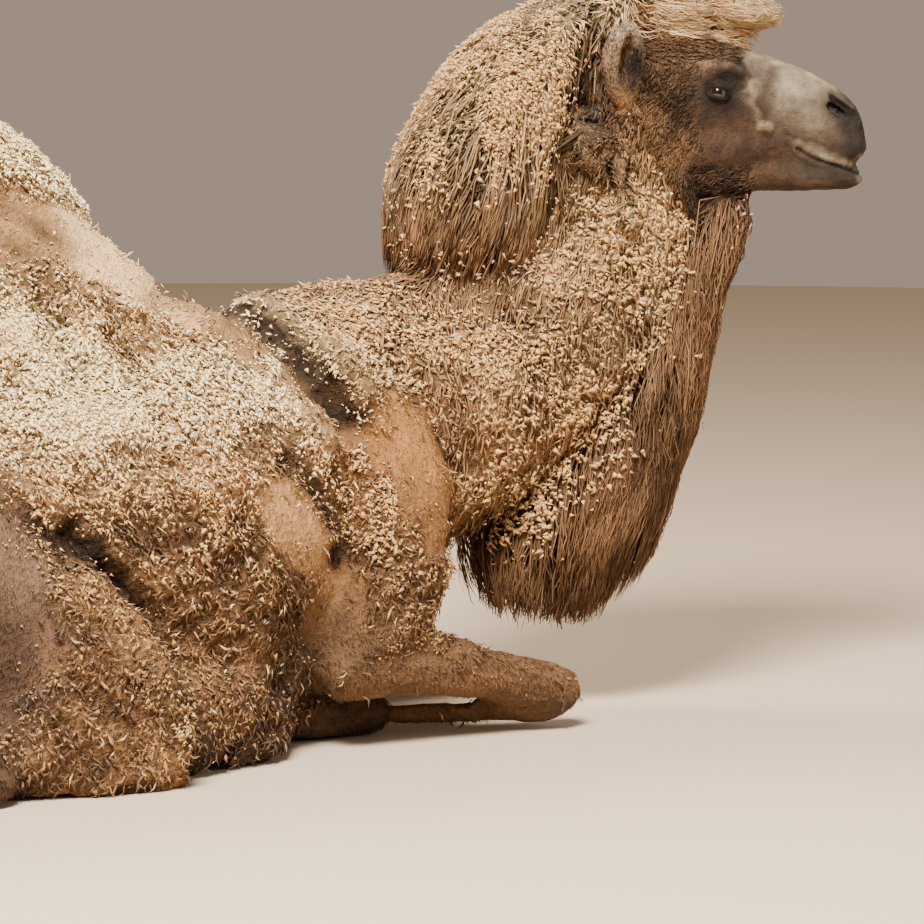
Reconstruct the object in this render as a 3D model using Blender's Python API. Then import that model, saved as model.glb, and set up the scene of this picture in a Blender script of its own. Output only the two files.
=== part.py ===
"""An adult bactrian camel lying on its folded legs, with its head raised and turned a little to its right.

Metres, +Z up, +X towards the camel's front, +Y to its left. The floor is Z = 0. Each solid reaches out to the tips
of the coat. The body is modelled whole as tubes that are fused and smoothed, and is then parted by thin plane cuts;
legs, hair masses, ears and eyes are separate solids fitted against it.
"""

from math import cos, pi, radians, sin

import bmesh
import bpy
import numpy as np
from mathutils import Matrix, Vector

# ---------------------------------------------------------------- driving dimensions
GAP = 0.0004  # clearance between neighbouring solids
HEAD_YAW = radians(-30)  # the upper neck and the head turn this far to the camel's right
HEAD_SET = 0.05  # how far the head's own plane stands to the left of the line through X = Y = 0
BACK = 0.935  # height of the plane that parts the humps from the trunk
HUMP_SPLIT = -1.33  # X between the front and the rear hump
NECK_BASE = Vector((-0.27, 0.0, 0.57))  # a point of the cut between trunk and neck
NECK_BASE_NORMAL = Vector((0.87, 0.0, 0.49))
HEAD_CUT = (0.345, 1.14)  # a point of the cut behind the jaw, in the head's plane: forward, up
HEAD_CUT_NORMAL = (0.884, 0.468)
EYE = (0.485, 0.080, 1.195)  # forward, out from the middle, up
EYE_RADIUS = 0.0215
NOSTRIL = (0.714, 0.041, 1.162)
EAR_BASE = (0.308, 0.088, 1.180)
EAR_LENGTH = 0.155
EAR_SHAPE = ((0, 0.026, 0.021), (0.3, 0.044, 0.021), (0.6, 0.049, 0.018), (0.85, 0.032, 0.012))
MOUTH = (0.725, 0.043, 1.040)
SIDES = 24  # corners of a tube's section

# Tubes are rows of (x, y, z, half width, half height); the height is measured square to the tube's path.
TRUNK = [
    (-0.13, 0, 0.43, 0.13, 0.17),
    (-0.23, 0, 0.43, 0.22, 0.30),
    (-0.33, 0, 0.415, 0.26, 0.385),
    (-0.41, 0, 0.405, 0.31, 0.41),
    (-0.50, 0, 0.405, 0.375, 0.42),
    (-0.65, 0, 0.415, 0.405, 0.435),
    (-0.95, 0, 0.435, 0.425, 0.455),
    (-1.20, 0, 0.440, 0.425, 0.460),
    (-1.45, 0, 0.440, 0.405, 0.455),
    (-1.66, 0, 0.450, 0.350, 0.415),
    (-1.80, 0, 0.465, 0.250, 0.330),
    (-1.88, 0, 0.480, 0.140, 0.200),
]
BELLY = [
    (-0.50, 0, 0.13, 0.250, 0.150),
    (-0.60, 0, 0.10, 0.360, 0.200),
    (-0.75, 0, 0.10, 0.425, 0.200),
    (-0.90, 0, 0.10, 0.435, 0.200),
    (-1.30, 0, 0.10, 0.425, 0.200),
    (-1.60, 0, 0.11, 0.360, 0.200),
    (-1.75, 0, 0.14, 0.260, 0.180),
]
FRONT_HUMP = [
    (-0.974, 0.000, 0.78, 0.290, 0.341),
    (-0.995, 0.000, 0.84, 0.265, 0.289),
    (-1.015, 0.005, 0.90, 0.240, 0.249),
    (-1.045, 0.020, 1.00, 0.195, 0.199),
    (-1.080, 0.040, 1.09, 0.150, 0.147),
    (-1.105, 0.060, 1.17, 0.105, 0.094),
    (-1.117, 0.075, 1.235, 0.055, 0.050),
]
REAR_HUMP = [
    (-1.560, 0.000, 0.78, 0.280, 0.260),
    (-1.560, 0.000, 0.92, 0.225, 0.205),
    (-1.570, -0.010, 1.01, 0.180, 0.170),
    (-1.585, -0.020, 1.10, 0.140, 0.138),
    (-1.600, -0.030, 1.18, 0.090, 0.098),
    (-1.610, -0.035, 1.235, 0.045, 0.050),
]
NECK = [
    (-0.50, 0.000, 0.50, 0.240, 0.300),
    (-0.30, -0.005, 0.545, 0.220, 0.300),
    (-0.13, -0.025, 0.590, 0.200, 0.275),
    (0.02, -0.045, 0.640, 0.175, 0.235),
    (0.14, -0.070, 0.710, 0.155, 0.200),
    (0.228, -0.095, 0.820, 0.138, 0.170),
    (0.285, -0.113, 0.960, 0.122, 0.148),
    (0.322, -0.128, 1.100, 0.112, 0.130),
    (0.350, -0.140, 1.190, 0.095, 0.105),
]
NECK_YAWS = (0, -2, -8, -15, -22, -30, -30, -30, -30)  # degrees, row by row

# The next tables are in the head's own plane: (forward, out, up, half width, half height).
SKULL = [
    (0.275, 0, 1.220, 0.080, 0.115),
    (0.364, 0, 1.203, 0.094, 0.132),
    (0.440, 0, 1.190, 0.099, 0.126),
    (0.499, 0, 1.180, 0.094, 0.112),
    (0.557, 0, 1.172, 0.074, 0.100),
    (0.615, 0, 1.161, 0.061, 0.089),
    (0.668, 0, 1.146, 0.056, 0.079),
    (0.703, 0, 1.129, 0.055, 0.070),
    (0.728, 0, 1.105, 0.050, 0.055),
    (0.752, 0, 1.076, 0.040, 0.034),
]
PALATE = [
    (0.430, 0, 1.098, 0.074, 0.044),
    (0.500, 0, 1.092, 0.058, 0.040),
    (0.560, 0, 1.086, 0.043, 0.036),
    (0.630, 0, 1.080, 0.036, 0.032),
    (0.700, 0, 1.060, 0.034, 0.024),
    (0.735, 0, 1.050, 0.028, 0.018),
]
JAW = [
    (0.380, 0, 1.075, 0.078, 0.075),
    (0.440, 0, 1.058, 0.070, 0.066),
    (0.500, 0, 1.046, 0.056, 0.052),
    (0.560, 0, 1.040, 0.044, 0.040),
    (0.634, 0, 1.033, 0.038, 0.031),
    (0.700, 0, 1.028, 0.036, 0.026),
    (0.742, 0, 1.027, 0.031, 0.022),
    (0.764, 0, 1.029, 0.022, 0.016),
]
BROW = [
    (0.440, 0.074, 1.236, 0.018, 0.016),
    (0.480, 0.082, 1.242, 0.020, 0.018),
    (0.520, 0.074, 1.236, 0.018, 0.015),
    (0.550, 0.060, 1.226, 0.012, 0.010),
]
CHEEK = [
    (0.400, 0.056, 1.104, 0.032, 0.068),
    (0.470, 0.055, 1.100, 0.032, 0.058),
    (0.540, 0.040, 1.098, 0.027, 0.043),
    (0.610, 0.024, 1.094, 0.018, 0.028),
    (0.660, 0.014, 1.090, 0.010, 0.018),
]
MANE = [
    (0.300, 0, 1.352, 0.105, 0.070),
    (0.205, 0, 1.310, 0.150, 0.088),
    (0.122, 0, 1.222, 0.190, 0.132),
    (0.062, 0, 1.115, 0.212, 0.160),
    (0.022, 0, 1.000, 0.215, 0.175),
    (-0.002, 0, 0.885, 0.195, 0.165),
]
CROWN = [
    (0.285, 0, 1.352, 0.085, 0.060),
    (0.370, 0, 1.374, 0.095, 0.070),
    (0.450, 0, 1.377, 0.090, 0.070),
    (0.530, 0, 1.358, 0.072, 0.056),
    (0.578, 0, 1.337, 0.045, 0.036),
]
BEARD = [
    (0.530, 0, 1.000, 0.050, 0.072),
    (0.485, 0, 0.925, 0.070, 0.072),
    (0.448, 0, 0.820, 0.088, 0.062),
    (0.412, 0, 0.715, 0.105, 0.083),
    (0.355, 0, 0.590, 0.125, 0.120),
    (0.245, 0, 0.460, 0.135, 0.188),
    (0.175, 0, 0.340, 0.130, 0.200),
    (0.160, 0, 0.230, 0.105, 0.160),
]
# Right leg tables are in the world's axes, with y as the distance out from the middle.
UPPER_ARM = [
    (-0.44, 0.195, 0.66, 0.070, 0.130),
    (-0.31, 0.245, 0.53, 0.085, 0.135),
    (-0.285, 0.270, 0.42, 0.090, 0.120),
    (-0.33, 0.280, 0.30, 0.085, 0.115),
    (-0.39, 0.280, 0.19, 0.075, 0.095),
]
FOREARM = [
    (-0.43, 0.275, 0.165, 0.070, 0.090),
    (-0.25, 0.280, 0.150, 0.066, 0.078),
    (-0.08, 0.270, 0.115, 0.058, 0.062),
    (0.04, 0.260, 0.078, 0.060, 0.066),
    (0.09, 0.255, 0.070, 0.052, 0.056),
]
FORE_CANNON = [
    (0.06, 0.245, 0.040, 0.045, 0.042),
    (-0.10, 0.190, 0.036, 0.034, 0.036),
    (-0.24, 0.150, 0.038, 0.034, 0.036),
]
FORE_FOOT = [
    (-0.27, 0.145, 0.042, 0.040, 0.042),
    (-0.34, 0.135, 0.045, 0.060, 0.046),
    (-0.42, 0.130, 0.042, 0.062, 0.042),
    (-0.47, 0.128, 0.036, 0.045, 0.030),
]
THIGH = [
    (-1.62, 0.240, 0.52, 0.125, 0.190),
    (-1.45, 0.315, 0.47, 0.155, 0.245),
    (-1.28, 0.350, 0.38, 0.155, 0.255),
    (-1.12, 0.365, 0.275, 0.140, 0.210),
    (-0.98, 0.385, 0.19, 0.125, 0.155),
    (-0.91, 0.395, 0.14, 0.100, 0.130),
]
STIFLE = [
    (-1.15, 0.375, 0.14, 0.115, 0.170),
    (-1.00, 0.395, 0.13, 0.120, 0.165),
    (-0.845, 0.405, 0.12, 0.110, 0.155),
]
SHANK = [
    (-0.99, 0.385, 0.130, 0.110, 0.125),
    (-1.20, 0.390, 0.150, 0.100, 0.130),
    (-1.45, 0.380, 0.135, 0.080, 0.105),
    (-1.68, 0.350, 0.110, 0.058, 0.078),
    (-1.76, 0.335, 0.100, 0.045, 0.060),
]
HIND_CANNON = [
    (-1.73, 0.345, 0.040, 0.045, 0.046),
    (-1.56, 0.410, 0.036, 0.036, 0.038),
    (-1.38, 0.440, 0.036, 0.036, 0.038),
]
HIND_FOOT = [
    (-1.36, 0.442, 0.040, 0.042, 0.044),
    (-1.29, 0.448, 0.044, 0.060, 0.048),
    (-1.21, 0.452, 0.040, 0.064, 0.042),
    (-1.17, 0.453, 0.034, 0.046, 0.030),
]
TAIL = [
    (-1.80, 0, 0.720, 0.055, 0.050),
    (-1.90, 0, 0.690, 0.050, 0.042),
    (-1.955, 0, 0.600, 0.042, 0.034),
    (-1.975, 0, 0.470, 0.036, 0.030),
    (-1.985, 0, 0.350, 0.044, 0.036),
    (-1.985, 0, 0.230, 0.048, 0.040),
    (-1.975, 0, 0.120, 0.030, 0.026),
]

# What each solid is hollowed by, in working order.
LEGS = [f"{kind}_{flank}" for kind in ("foreleg", "forefoot", "hindleg", "hindfoot") for flank in ("right", "left")]
FITS = [
    ("crown_tuft", ["head", "mane", "ear_right", "ear_left"]),
    ("mane", ["head", "neck", "ear_right", "ear_left"]),
    ("beard", ["head", "neck", "trunk", "foreleg_right", "foreleg_left"]),
    ("tail", ["trunk"]),
    ("ear_right", ["head", "neck"]),
    ("ear_left", ["head", "neck"]),
    ("trunk", LEGS),
    ("neck", LEGS[:2]),
    ("foreleg_right", ["forefoot_right"]),
    ("foreleg_left", ["forefoot_left"]),
    ("hindleg_right", ["hindfoot_right"]),
    ("hindleg_left", ["hindfoot_left"]),
]


# ---------------------------------------------------------------- small helpers
def clear_scene():
    for obj in list(bpy.data.objects):
        bpy.data.objects.remove(obj)


def material(name, colour, roughness):
    made = bpy.data.materials.new(name)
    made.use_nodes = True
    shader = made.node_tree.nodes["Principled BSDF"]
    shader.inputs["Base Color"].default_value = (*colour, 1)
    shader.inputs["Roughness"].default_value = roughness
    shader.inputs["Metallic"].default_value = 0.0
    return made


def new_object(name, bm):
    mesh = bpy.data.meshes.new(name)
    bm.to_mesh(mesh)
    bm.free()
    obj = bpy.data.objects.new(name, mesh)
    bpy.context.scene.collection.objects.link(obj)
    return obj


def discard(obj):
    mesh = obj.data
    bpy.data.objects.remove(obj)
    bpy.data.meshes.remove(mesh)


def bake(obj):
    """Replaces the object's mesh by what its modifiers make of it."""
    graph = bpy.context.evaluated_depsgraph_get()
    made = bpy.data.meshes.new_from_object(obj.evaluated_get(graph))
    old = obj.data
    obj.modifiers.clear()
    obj.data = made
    bpy.data.meshes.remove(old)


def in_head_plane(forward, out, up):
    """The world position of a point given in the head's plane; out is towards the camel's right."""
    along = Vector((cos(HEAD_YAW), sin(HEAD_YAW), 0))
    left = Vector((-sin(HEAD_YAW), cos(HEAD_YAW), 0))
    return along * forward + left * (HEAD_SET - out) + Vector((0, 0, up))


def head_rows(table, side=1):
    return [(*in_head_plane(f, out * side, up), w, h) for f, out, up, w, h in table]


def leg_rows(table, side):
    """A leg's table on one flank: side is -1 for the camel's right and 1 for its left."""
    return [(x, y * side, z, w, h) for x, y, z, w, h in table]


def curve_through(rows, steps):
    """Catmull-Rom points through the rows, with this many steps to a span."""
    rows = np.array(rows, float)
    before = 2 * rows[0] - rows[1]
    after = 2 * rows[-1] - rows[-2]
    p = np.vstack([before, rows, after])
    made = []
    for i in range(1, len(p) - 2):
        for t in np.arange(steps) / steps:
            a = 2 * p[i]
            b = (p[i + 1] - p[i - 1]) * t
            c = (2 * p[i - 1] - 5 * p[i] + 4 * p[i + 1] - p[i + 2]) * t**2
            d = (3 * p[i] - 3 * p[i + 1] + p[i + 2] - p[i - 1]) * t**3
            made.append((a + b + c + d) / 2)
    return np.array(made + [rows[-1]])


def add_tube(bm, rows, yaws=0.0, steps=4, dome=0.5):
    """A closed tube of elliptic sections with rounded ends. yaws are the sections' headings in degrees."""
    yaws = np.broadcast_to(yaws, len(rows))
    table = curve_through([(*row, yaw) for row, yaw in zip(rows, yaws)], steps)
    path, half_w, half_h, heading = table[:, :3], table[:, 3], table[:, 4], np.radians(table[:, 5])
    tangent = np.gradient(path, axis=0)
    tangent /= np.linalg.norm(tangent, axis=1)[:, None]
    side = np.stack([-np.sin(heading), np.cos(heading), 0 * heading], 1)
    up = np.cross(tangent, side)
    up /= np.linalg.norm(up, axis=1)[:, None]
    side = np.cross(up, tangent)
    reach = dome * np.minimum(half_w, half_h)
    sections = [(path[i], side[i], up[i], half_w[i], half_h[i]) for i in range(len(path))]
    for turn in (1, 2):
        angle = turn * pi / 6
        for end, sign in ((0, -1), (-1, 1)):
            centre = path[end] + tangent[end] * sign * reach[end] * sin(angle)
            section = (centre, side[end], up[end], half_w[end] * cos(angle), half_h[end] * cos(angle))
            sections.insert(0 if end == 0 else len(sections), section)
    rings = []
    for centre, across, upward, w, h in sections:
        angles = 2 * pi * np.arange(SIDES) / SIDES
        points = centre + np.outer(np.cos(angles) * w, across) + np.outer(np.sin(angles) * h, upward)
        rings.append([bm.verts.new(point) for point in points])
    for a, b in zip(rings, rings[1:]):
        for i in range(SIDES):
            j = (i + 1) % SIDES
            bm.faces.new((a[i], a[j], b[j], b[i]))
    tips = [path[0] - tangent[0] * reach[0], path[-1] + tangent[-1] * reach[-1]]
    for ring, tip in zip((rings[0], rings[-1]), tips):
        apex = bm.verts.new(tip)
        for i in range(SIDES):
            bm.faces.new((ring[i], ring[(i + 1) % SIDES], apex))


def face_outwards(bm):
    bmesh.ops.recalc_face_normals(bm, faces=bm.faces)


def fused(name, add_parts, voxel, smoothing, triangles):
    """One closed skin round the tubes that add_parts draws, smoothed and thinned to about this many triangles."""
    bm = bmesh.new()
    add_parts(bm)
    face_outwards(bm)
    obj = new_object(name, bm)
    remesh = obj.modifiers.new("fuse", "REMESH")
    remesh.mode = "VOXEL"
    remesh.voxel_size = voxel
    soften = obj.modifiers.new("soften", "SMOOTH")
    soften.factor = 0.5
    soften.iterations = smoothing
    bake(obj)
    simplify(obj, triangles)
    mend_folds(obj)
    return obj


def simplify(obj, triangles):
    """Thins a mesh to about this many triangles."""
    present = sum(len(polygon.vertices) - 2 for polygon in obj.data.polygons)
    thin = obj.modifiers.new("thin", "DECIMATE")
    thin.ratio = min(1.0, triangles / present)
    thin.use_collapse_triangulate = True
    bake(obj)


def mend_folds(obj, limit=radians(105)):
    """Closes up the slivers that thinning can fold over in a smooth shape, one short edge at a time."""
    bm = bmesh.new()
    bm.from_mesh(obj.data)
    folded = [edge for edge in bm.edges if edge.calc_face_angle(0) > limit]
    while folded:
        edges = [edge for face in folded[0].link_faces for edge in face.edges]
        shortest = min(edges, key=lambda edge: edge.calc_length())
        bmesh.ops.collapse(bm, edges=[shortest])
        folded = [edge for edge in bm.edges if edge.calc_face_angle(0) > limit]
    bm.to_mesh(obj.data)
    bm.free()


def keep_largest(bm):
    """Deletes every loose island but the one with the most faces."""
    left, islands = set(bm.verts), []
    while left:
        island, front = set(), [left.pop()]
        while front:
            vert = front.pop()
            island.add(vert)
            for edge in vert.link_edges:
                other = edge.other_vert(vert)
                if other in left:
                    left.remove(other)
                    front.append(other)
        islands.append(island)
    islands.sort(key=len)
    for island in islands[:-1]:
        bmesh.ops.delete(bm, geom=list(island), context="VERTS")


def cut_off(obj, name, point, normal):
    """Parts obj at a plane: what lies on the normal's side becomes a new object, with the gap between them."""
    normal = Vector(normal).normalized()
    pieces = []
    for sign in (1, -1):
        bm = bmesh.new()
        bm.from_mesh(obj.data)
        offset = Vector(point) + normal * sign * GAP / 2
        geom = bm.verts[:] + bm.edges[:] + bm.faces[:]
        clear = {"clear_inner": sign == 1, "clear_outer": sign == -1}
        bmesh.ops.bisect_plane(bm, geom=geom, dist=1e-6, plane_co=offset, plane_no=normal, **clear)
        rim = [edge for edge in bm.edges if edge.is_boundary]
        bmesh.ops.triangle_fill(bm, edges=rim, use_beauty=True)
        bmesh.ops.triangulate(bm, faces=bm.faces)
        face_outwards(bm)
        pieces.append(bm)
    pieces[1].to_mesh(obj.data)
    pieces[1].free()
    return new_object(name, pieces[0])


def grown(obj, by):
    """A hidden copy of obj, larger by this much all round."""
    bm = bmesh.new()
    bm.from_mesh(obj.data)
    bm.normal_update()
    shifts = [vert.normal * by for vert in bm.verts]
    for vert, shift in zip(bm.verts, shifts):
        vert.co += shift
    return new_object("cutter", bm)


def carve(obj, cutter, operation="DIFFERENCE"):
    """Applies a Boolean with cutter and keeps the largest body that is left. The cutter is used up."""
    step = obj.modifiers.new("carve", "BOOLEAN")
    step.operation = operation
    step.solver = "EXACT"
    step.object = cutter
    bake(obj)
    discard(cutter)
    bm = bmesh.new()
    bm.from_mesh(obj.data)
    bmesh.ops.dissolve_degenerate(bm, dist=1e-5, edges=bm.edges)
    bmesh.ops.triangulate(bm, faces=bm.faces)
    keep_largest(bm)
    bm.to_mesh(obj.data)
    bm.free()


def floor_block():
    bm = bmesh.new()
    bmesh.ops.create_cube(bm, size=1.0)
    bmesh.ops.scale(bm, verts=bm.verts, vec=(6, 6, 1))
    bmesh.ops.translate(bm, verts=bm.verts, vec=(0, 0, -0.5))
    return new_object("cutter", bm)


def ellipsoid(name, centre, radii, turn, detail=2):
    bm = bmesh.new()
    bmesh.ops.create_icosphere(bm, subdivisions=detail, radius=1.0)
    matrix = Matrix.Translation(centre) @ turn.to_4x4() @ Matrix.Diagonal((*radii, 1))
    bmesh.ops.transform(bm, verts=bm.verts, matrix=matrix)
    return new_object(name, bm)


# ---------------------------------------------------------------- the camel's parts
def add_body(bm):
    add_tube(bm, TRUNK)
    add_tube(bm, BELLY)
    add_tube(bm, FRONT_HUMP)
    add_tube(bm, REAR_HUMP)
    add_tube(bm, NECK, yaws=NECK_YAWS)
    add_tube(bm, head_rows(SKULL), yaws=np.degrees(HEAD_YAW))


def add_head(bm):
    yaw = np.degrees(HEAD_YAW)
    add_tube(bm, NECK, yaws=NECK_YAWS)
    add_tube(bm, head_rows(SKULL), yaws=yaw)
    add_tube(bm, head_rows(PALATE), yaws=yaw)
    add_tube(bm, head_rows(JAW), yaws=yaw)
    for side in (-1, 1):
        add_tube(bm, head_rows(BROW, side), yaws=yaw)
        add_tube(bm, head_rows(CHEEK, side), yaws=yaw)


def make_body():
    """The body from rump to poll, parted into trunk, two humps and neck, and the head at a finer grain."""
    forward, up = HEAD_CUT
    along, lift = HEAD_CUT_NORMAL
    behind_jaw = in_head_plane(forward, 0, up)
    normal = in_head_plane(along, 0, lift) - in_head_plane(0, 0, 0)
    trunk = fused("trunk", add_body, voxel=0.0125, smoothing=7, triangles=1850)
    discard(cut_off(trunk, "nose", behind_jaw, normal))
    neck = cut_off(trunk, "neck", NECK_BASE, NECK_BASE_NORMAL)
    rear = cut_off(trunk, "hump_rear", (0, 0, BACK), (0, 0, 1))
    front = cut_off(rear, "hump_front", (HUMP_SPLIT, 0, 0), (1, 0, 0))
    coarse = fused("scruff", add_head, voxel=0.008, smoothing=4, triangles=9000)
    head = cut_off(coarse, "head", behind_jaw, normal)
    discard(coarse)
    simplify(head, 860)
    return {"trunk": trunk, "head": head, "neck": neck, "hump_front": front, "hump_rear": rear}


def make_legs(nodes):
    """Four folded legs, each with its foot as a solid of its own."""
    shapes = (
        ("foreleg", [UPPER_ARM, FOREARM, FORE_CANNON], 310, 0.011, 5),
        ("forefoot", [FORE_FOOT], 80, 0.008, 3),
        ("hindleg", [THIGH, STIFLE, SHANK, HIND_CANNON], 400, 0.011, 5),
        ("hindfoot", [HIND_FOOT], 80, 0.008, 3),
    )
    for side, flank in ((-1, "right"), (1, "left")):
        for kind, tables, triangles, voxel, smoothing in shapes:

            def add_leg(bm):
                for table in tables:
                    add_tube(bm, leg_rows(table, side))

            name = f"{kind}_{flank}"
            nodes[name] = fused(name, add_leg, voxel, smoothing, triangles)


def ear_rows(side):
    rows = []
    for share, half, thick in EAR_SHAPE:
        lean = 0.30 * share * EAR_LENGTH
        forward, out, up = EAR_BASE
        point = in_head_plane(forward - 0.1 * lean, side * (out + lean), up + share * EAR_LENGTH)
        rows.append((*point, half, thick))
    return rows


def ear_heading(side):
    """The heading of the ear's broad side, in degrees: the cup opens forwards and outwards."""
    return np.degrees(HEAD_YAW) + 90 + side * 35


def make_hair_and_ears(nodes):
    """The nape mane, the crown tuft and the throat's beard, the tail, and the ears, each still unhollowed."""
    yaw = np.degrees(HEAD_YAW)
    masses = (("mane", MANE, 240), ("crown_tuft", CROWN, 130), ("beard", BEARD, 210))
    for name, table, triangles in masses:
        nodes[name] = fused(name, lambda bm: add_tube(bm, head_rows(table), yaws=yaw), 0.012, 3, triangles)
    nodes["tail"] = fused("tail", lambda bm: add_tube(bm, TAIL), 0.010, 3, 160)
    for flank, side in (("right", 1), ("left", -1)):
        rows, heading = ear_rows(side), ear_heading(side)
        name = f"ear_{flank}"
        nodes[name] = fused(name, lambda bm: add_tube(bm, rows, yaws=heading, dome=0.9), 0.004, 2, 130)


def fit_together(nodes):
    """Hollows each solid to fit its neighbours. A neighbour is always used before it is hollowed itself."""
    for name, neighbours in FITS:
        for neighbour in neighbours:
            carve(nodes[name], grown(nodes[neighbour], GAP))


def shape_face(nodes):
    """The eyes in their sockets, the nostrils' slits, the line of the mouth, and the cups of the ears."""
    head = nodes["head"]
    turn = Matrix.Rotation(HEAD_YAW, 3, "Z")
    for flank, side in (("right", 1), ("left", -1)):
        forward, out, up = EYE
        centre = in_head_plane(forward, out * side, up)
        eye = ellipsoid(f"eye_{flank}", centre, [EYE_RADIUS] * 3, turn)
        carve(head, ellipsoid("cutter", centre, [EYE_RADIUS + GAP] * 3, turn))
        nodes[eye.name] = eye
        forward, out, up = NOSTRIL
        slit = Matrix.Rotation(HEAD_YAW - side * radians(20), 3, "Z") @ Matrix.Rotation(radians(38), 3, "Y")
        carve(head, ellipsoid("cutter", in_head_plane(forward, out * side, up), (0.024, 0.022, 0.006), slit))
        forward, out, up = MOUTH
        lips = Matrix.Rotation(HEAD_YAW + side * radians(8), 3, "Z") @ Matrix.Rotation(radians(19), 3, "Y")
        carve(head, ellipsoid("cutter", in_head_plane(forward, out * side, up), (0.090, 0.018, 0.003), lips))
        rows, heading = ear_rows(side), radians(ear_heading(side))
        facing = heading - pi / 2 - side * pi / 2
        middle = Vector(rows[1][:3]).lerp(Vector(rows[2][:3]), 0.55)
        middle += 0.020 * Vector((cos(facing), sin(facing), 0))
        cup = Matrix.Rotation(heading, 3, "Z")
        carve(nodes[f"ear_{flank}"], ellipsoid("cutter", middle, (0.034, 0.023, 0.060), cup))


def stand_on_floor(nodes):
    """Cuts flats at floor level on all that reaches it."""
    for obj in nodes.values():
        if min(vert.co.z for vert in obj.data.vertices) < 0:
            carve(obj, floor_block())


def centre_on_origin(nodes):
    """Moves the model so that the middle of its box's base is the origin."""
    corners = np.array([vert.co for obj in nodes.values() for vert in obj.data.vertices])
    low, high = corners.min(0), corners.max(0)
    shift = Vector((-(low[0] + high[0]) / 2, -(low[1] + high[1]) / 2, 0))
    for obj in nodes.values():
        obj.data.transform(Matrix.Translation(shift))
    return shift


def paint(nodes):
    slots = {
        "wool": material("wool", (0.46, 0.30, 0.17), 0.95),
        "long_hair": material("long_hair", (0.33, 0.18, 0.08), 0.9),
        "face": material("face", (0.36, 0.26, 0.18), 0.85),
        "foot": material("foot", (0.22, 0.15, 0.10), 0.8),
        "eye": material("eye", (0.02, 0.012, 0.008), 0.1),
    }
    kinds = {"mane": "long_hair", "beard": "long_hair", "crown": "long_hair", "tail": "long_hair"}
    kinds.update({"head": "face", "ear": "face", "forefoot": "foot", "hindfoot": "foot", "eye": "eye"})
    for name, obj in nodes.items():
        obj.data.materials.clear()
        obj.data.materials.append(slots[kinds.get(name.split("_")[0], "wool")])
        obj.data.shade_smooth()


def main():
    clear_scene()
    nodes = make_body()
    make_legs(nodes)
    make_hair_and_ears(nodes)
    fit_together(nodes)
    shape_face(nodes)
    stand_on_floor(nodes)
    centre_on_origin(nodes)
    paint(nodes)


main()
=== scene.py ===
"""A bactrian camel lying on its folded legs, in moult: one skin, its face and eyes, and the coat in tufts."""

from itertools import product
from math import cos, pi, radians, sin

import bmesh
import bpy
import numpy as np
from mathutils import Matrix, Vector
from mathutils.bvhtree import BVHTree


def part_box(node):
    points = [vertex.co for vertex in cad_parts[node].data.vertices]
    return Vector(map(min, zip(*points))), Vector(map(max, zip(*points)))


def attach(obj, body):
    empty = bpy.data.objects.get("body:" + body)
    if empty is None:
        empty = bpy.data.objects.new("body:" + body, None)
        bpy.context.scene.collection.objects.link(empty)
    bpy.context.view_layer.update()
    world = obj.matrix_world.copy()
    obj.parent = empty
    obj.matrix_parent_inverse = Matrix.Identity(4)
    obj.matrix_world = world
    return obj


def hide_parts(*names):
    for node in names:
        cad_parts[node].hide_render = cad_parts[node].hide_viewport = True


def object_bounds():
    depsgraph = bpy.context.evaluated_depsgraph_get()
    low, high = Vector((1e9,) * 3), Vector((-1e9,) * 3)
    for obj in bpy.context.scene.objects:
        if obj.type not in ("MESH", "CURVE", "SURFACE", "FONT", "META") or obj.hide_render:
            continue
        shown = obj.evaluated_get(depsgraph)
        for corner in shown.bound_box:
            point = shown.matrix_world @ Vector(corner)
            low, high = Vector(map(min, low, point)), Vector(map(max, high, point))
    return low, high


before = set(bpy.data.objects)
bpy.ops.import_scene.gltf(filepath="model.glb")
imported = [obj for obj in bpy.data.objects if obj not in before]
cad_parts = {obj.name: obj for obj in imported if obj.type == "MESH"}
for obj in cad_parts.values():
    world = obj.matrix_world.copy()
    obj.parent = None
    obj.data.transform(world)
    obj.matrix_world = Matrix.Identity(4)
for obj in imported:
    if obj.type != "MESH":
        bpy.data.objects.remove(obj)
CAD_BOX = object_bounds()

# --- places, all from the frame
SIDES = {"right": 1, "left": -1}  # sides of the head; out is towards the camel's right
LIMBS = [f"{kind}_{side}" for kind in ("foreleg", "forefoot", "hindleg", "hindfoot") for side in SIDES]
EARS = [f"ear_{side}" for side in SIDES]
HAIR = ["mane", "beard", "crown_tuft", "tail"]
BODY = ["trunk", "hump_front", "hump_rear", "neck"] + LIMBS
FLESH = BODY + ["head"] + EARS
NAMES = FLESH + HAIR
NUMBER = {name: i for i, name in enumerate(NAMES)}


def middle(node):
    low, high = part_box(node)
    return (low + high) / 2


EYE = {side: np.array(middle(f"eye_{side}")) for side in SIDES}
EYE_RADIUS = (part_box("eye_right")[1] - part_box("eye_right")[0]).z / 2
FACE_MIDDLE = (EYE["right"] + EYE["left"]) / 2
OUT = (EYE["right"] - EYE["left"]) / np.linalg.norm(EYE["right"] - EYE["left"])
AHEAD = np.array([-OUT[1], OUT[0], 0.0])
UP = np.array([0.0, 0.0, 1.0])
KNEE_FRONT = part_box("foreleg_right")[1].x
# The camera stands where the photo was taken from, measured from between the eyes.
CAMERA_FROM_FACE = Vector((-4.945, -7.595, 0.305))
CAMERA_HEADING = radians(60)
CAMERA_DIP = radians(6.43)
LENS = 183.5
SENSOR = 36

# Behind the jaw, where the head's fine skin dives under the neck's: a point and a direction, as ahead and up.
JAW_SEAM = np.array([-0.140, -0.055])
JAW_SEAM_WAY = np.array([0.884, 0.468])

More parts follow.
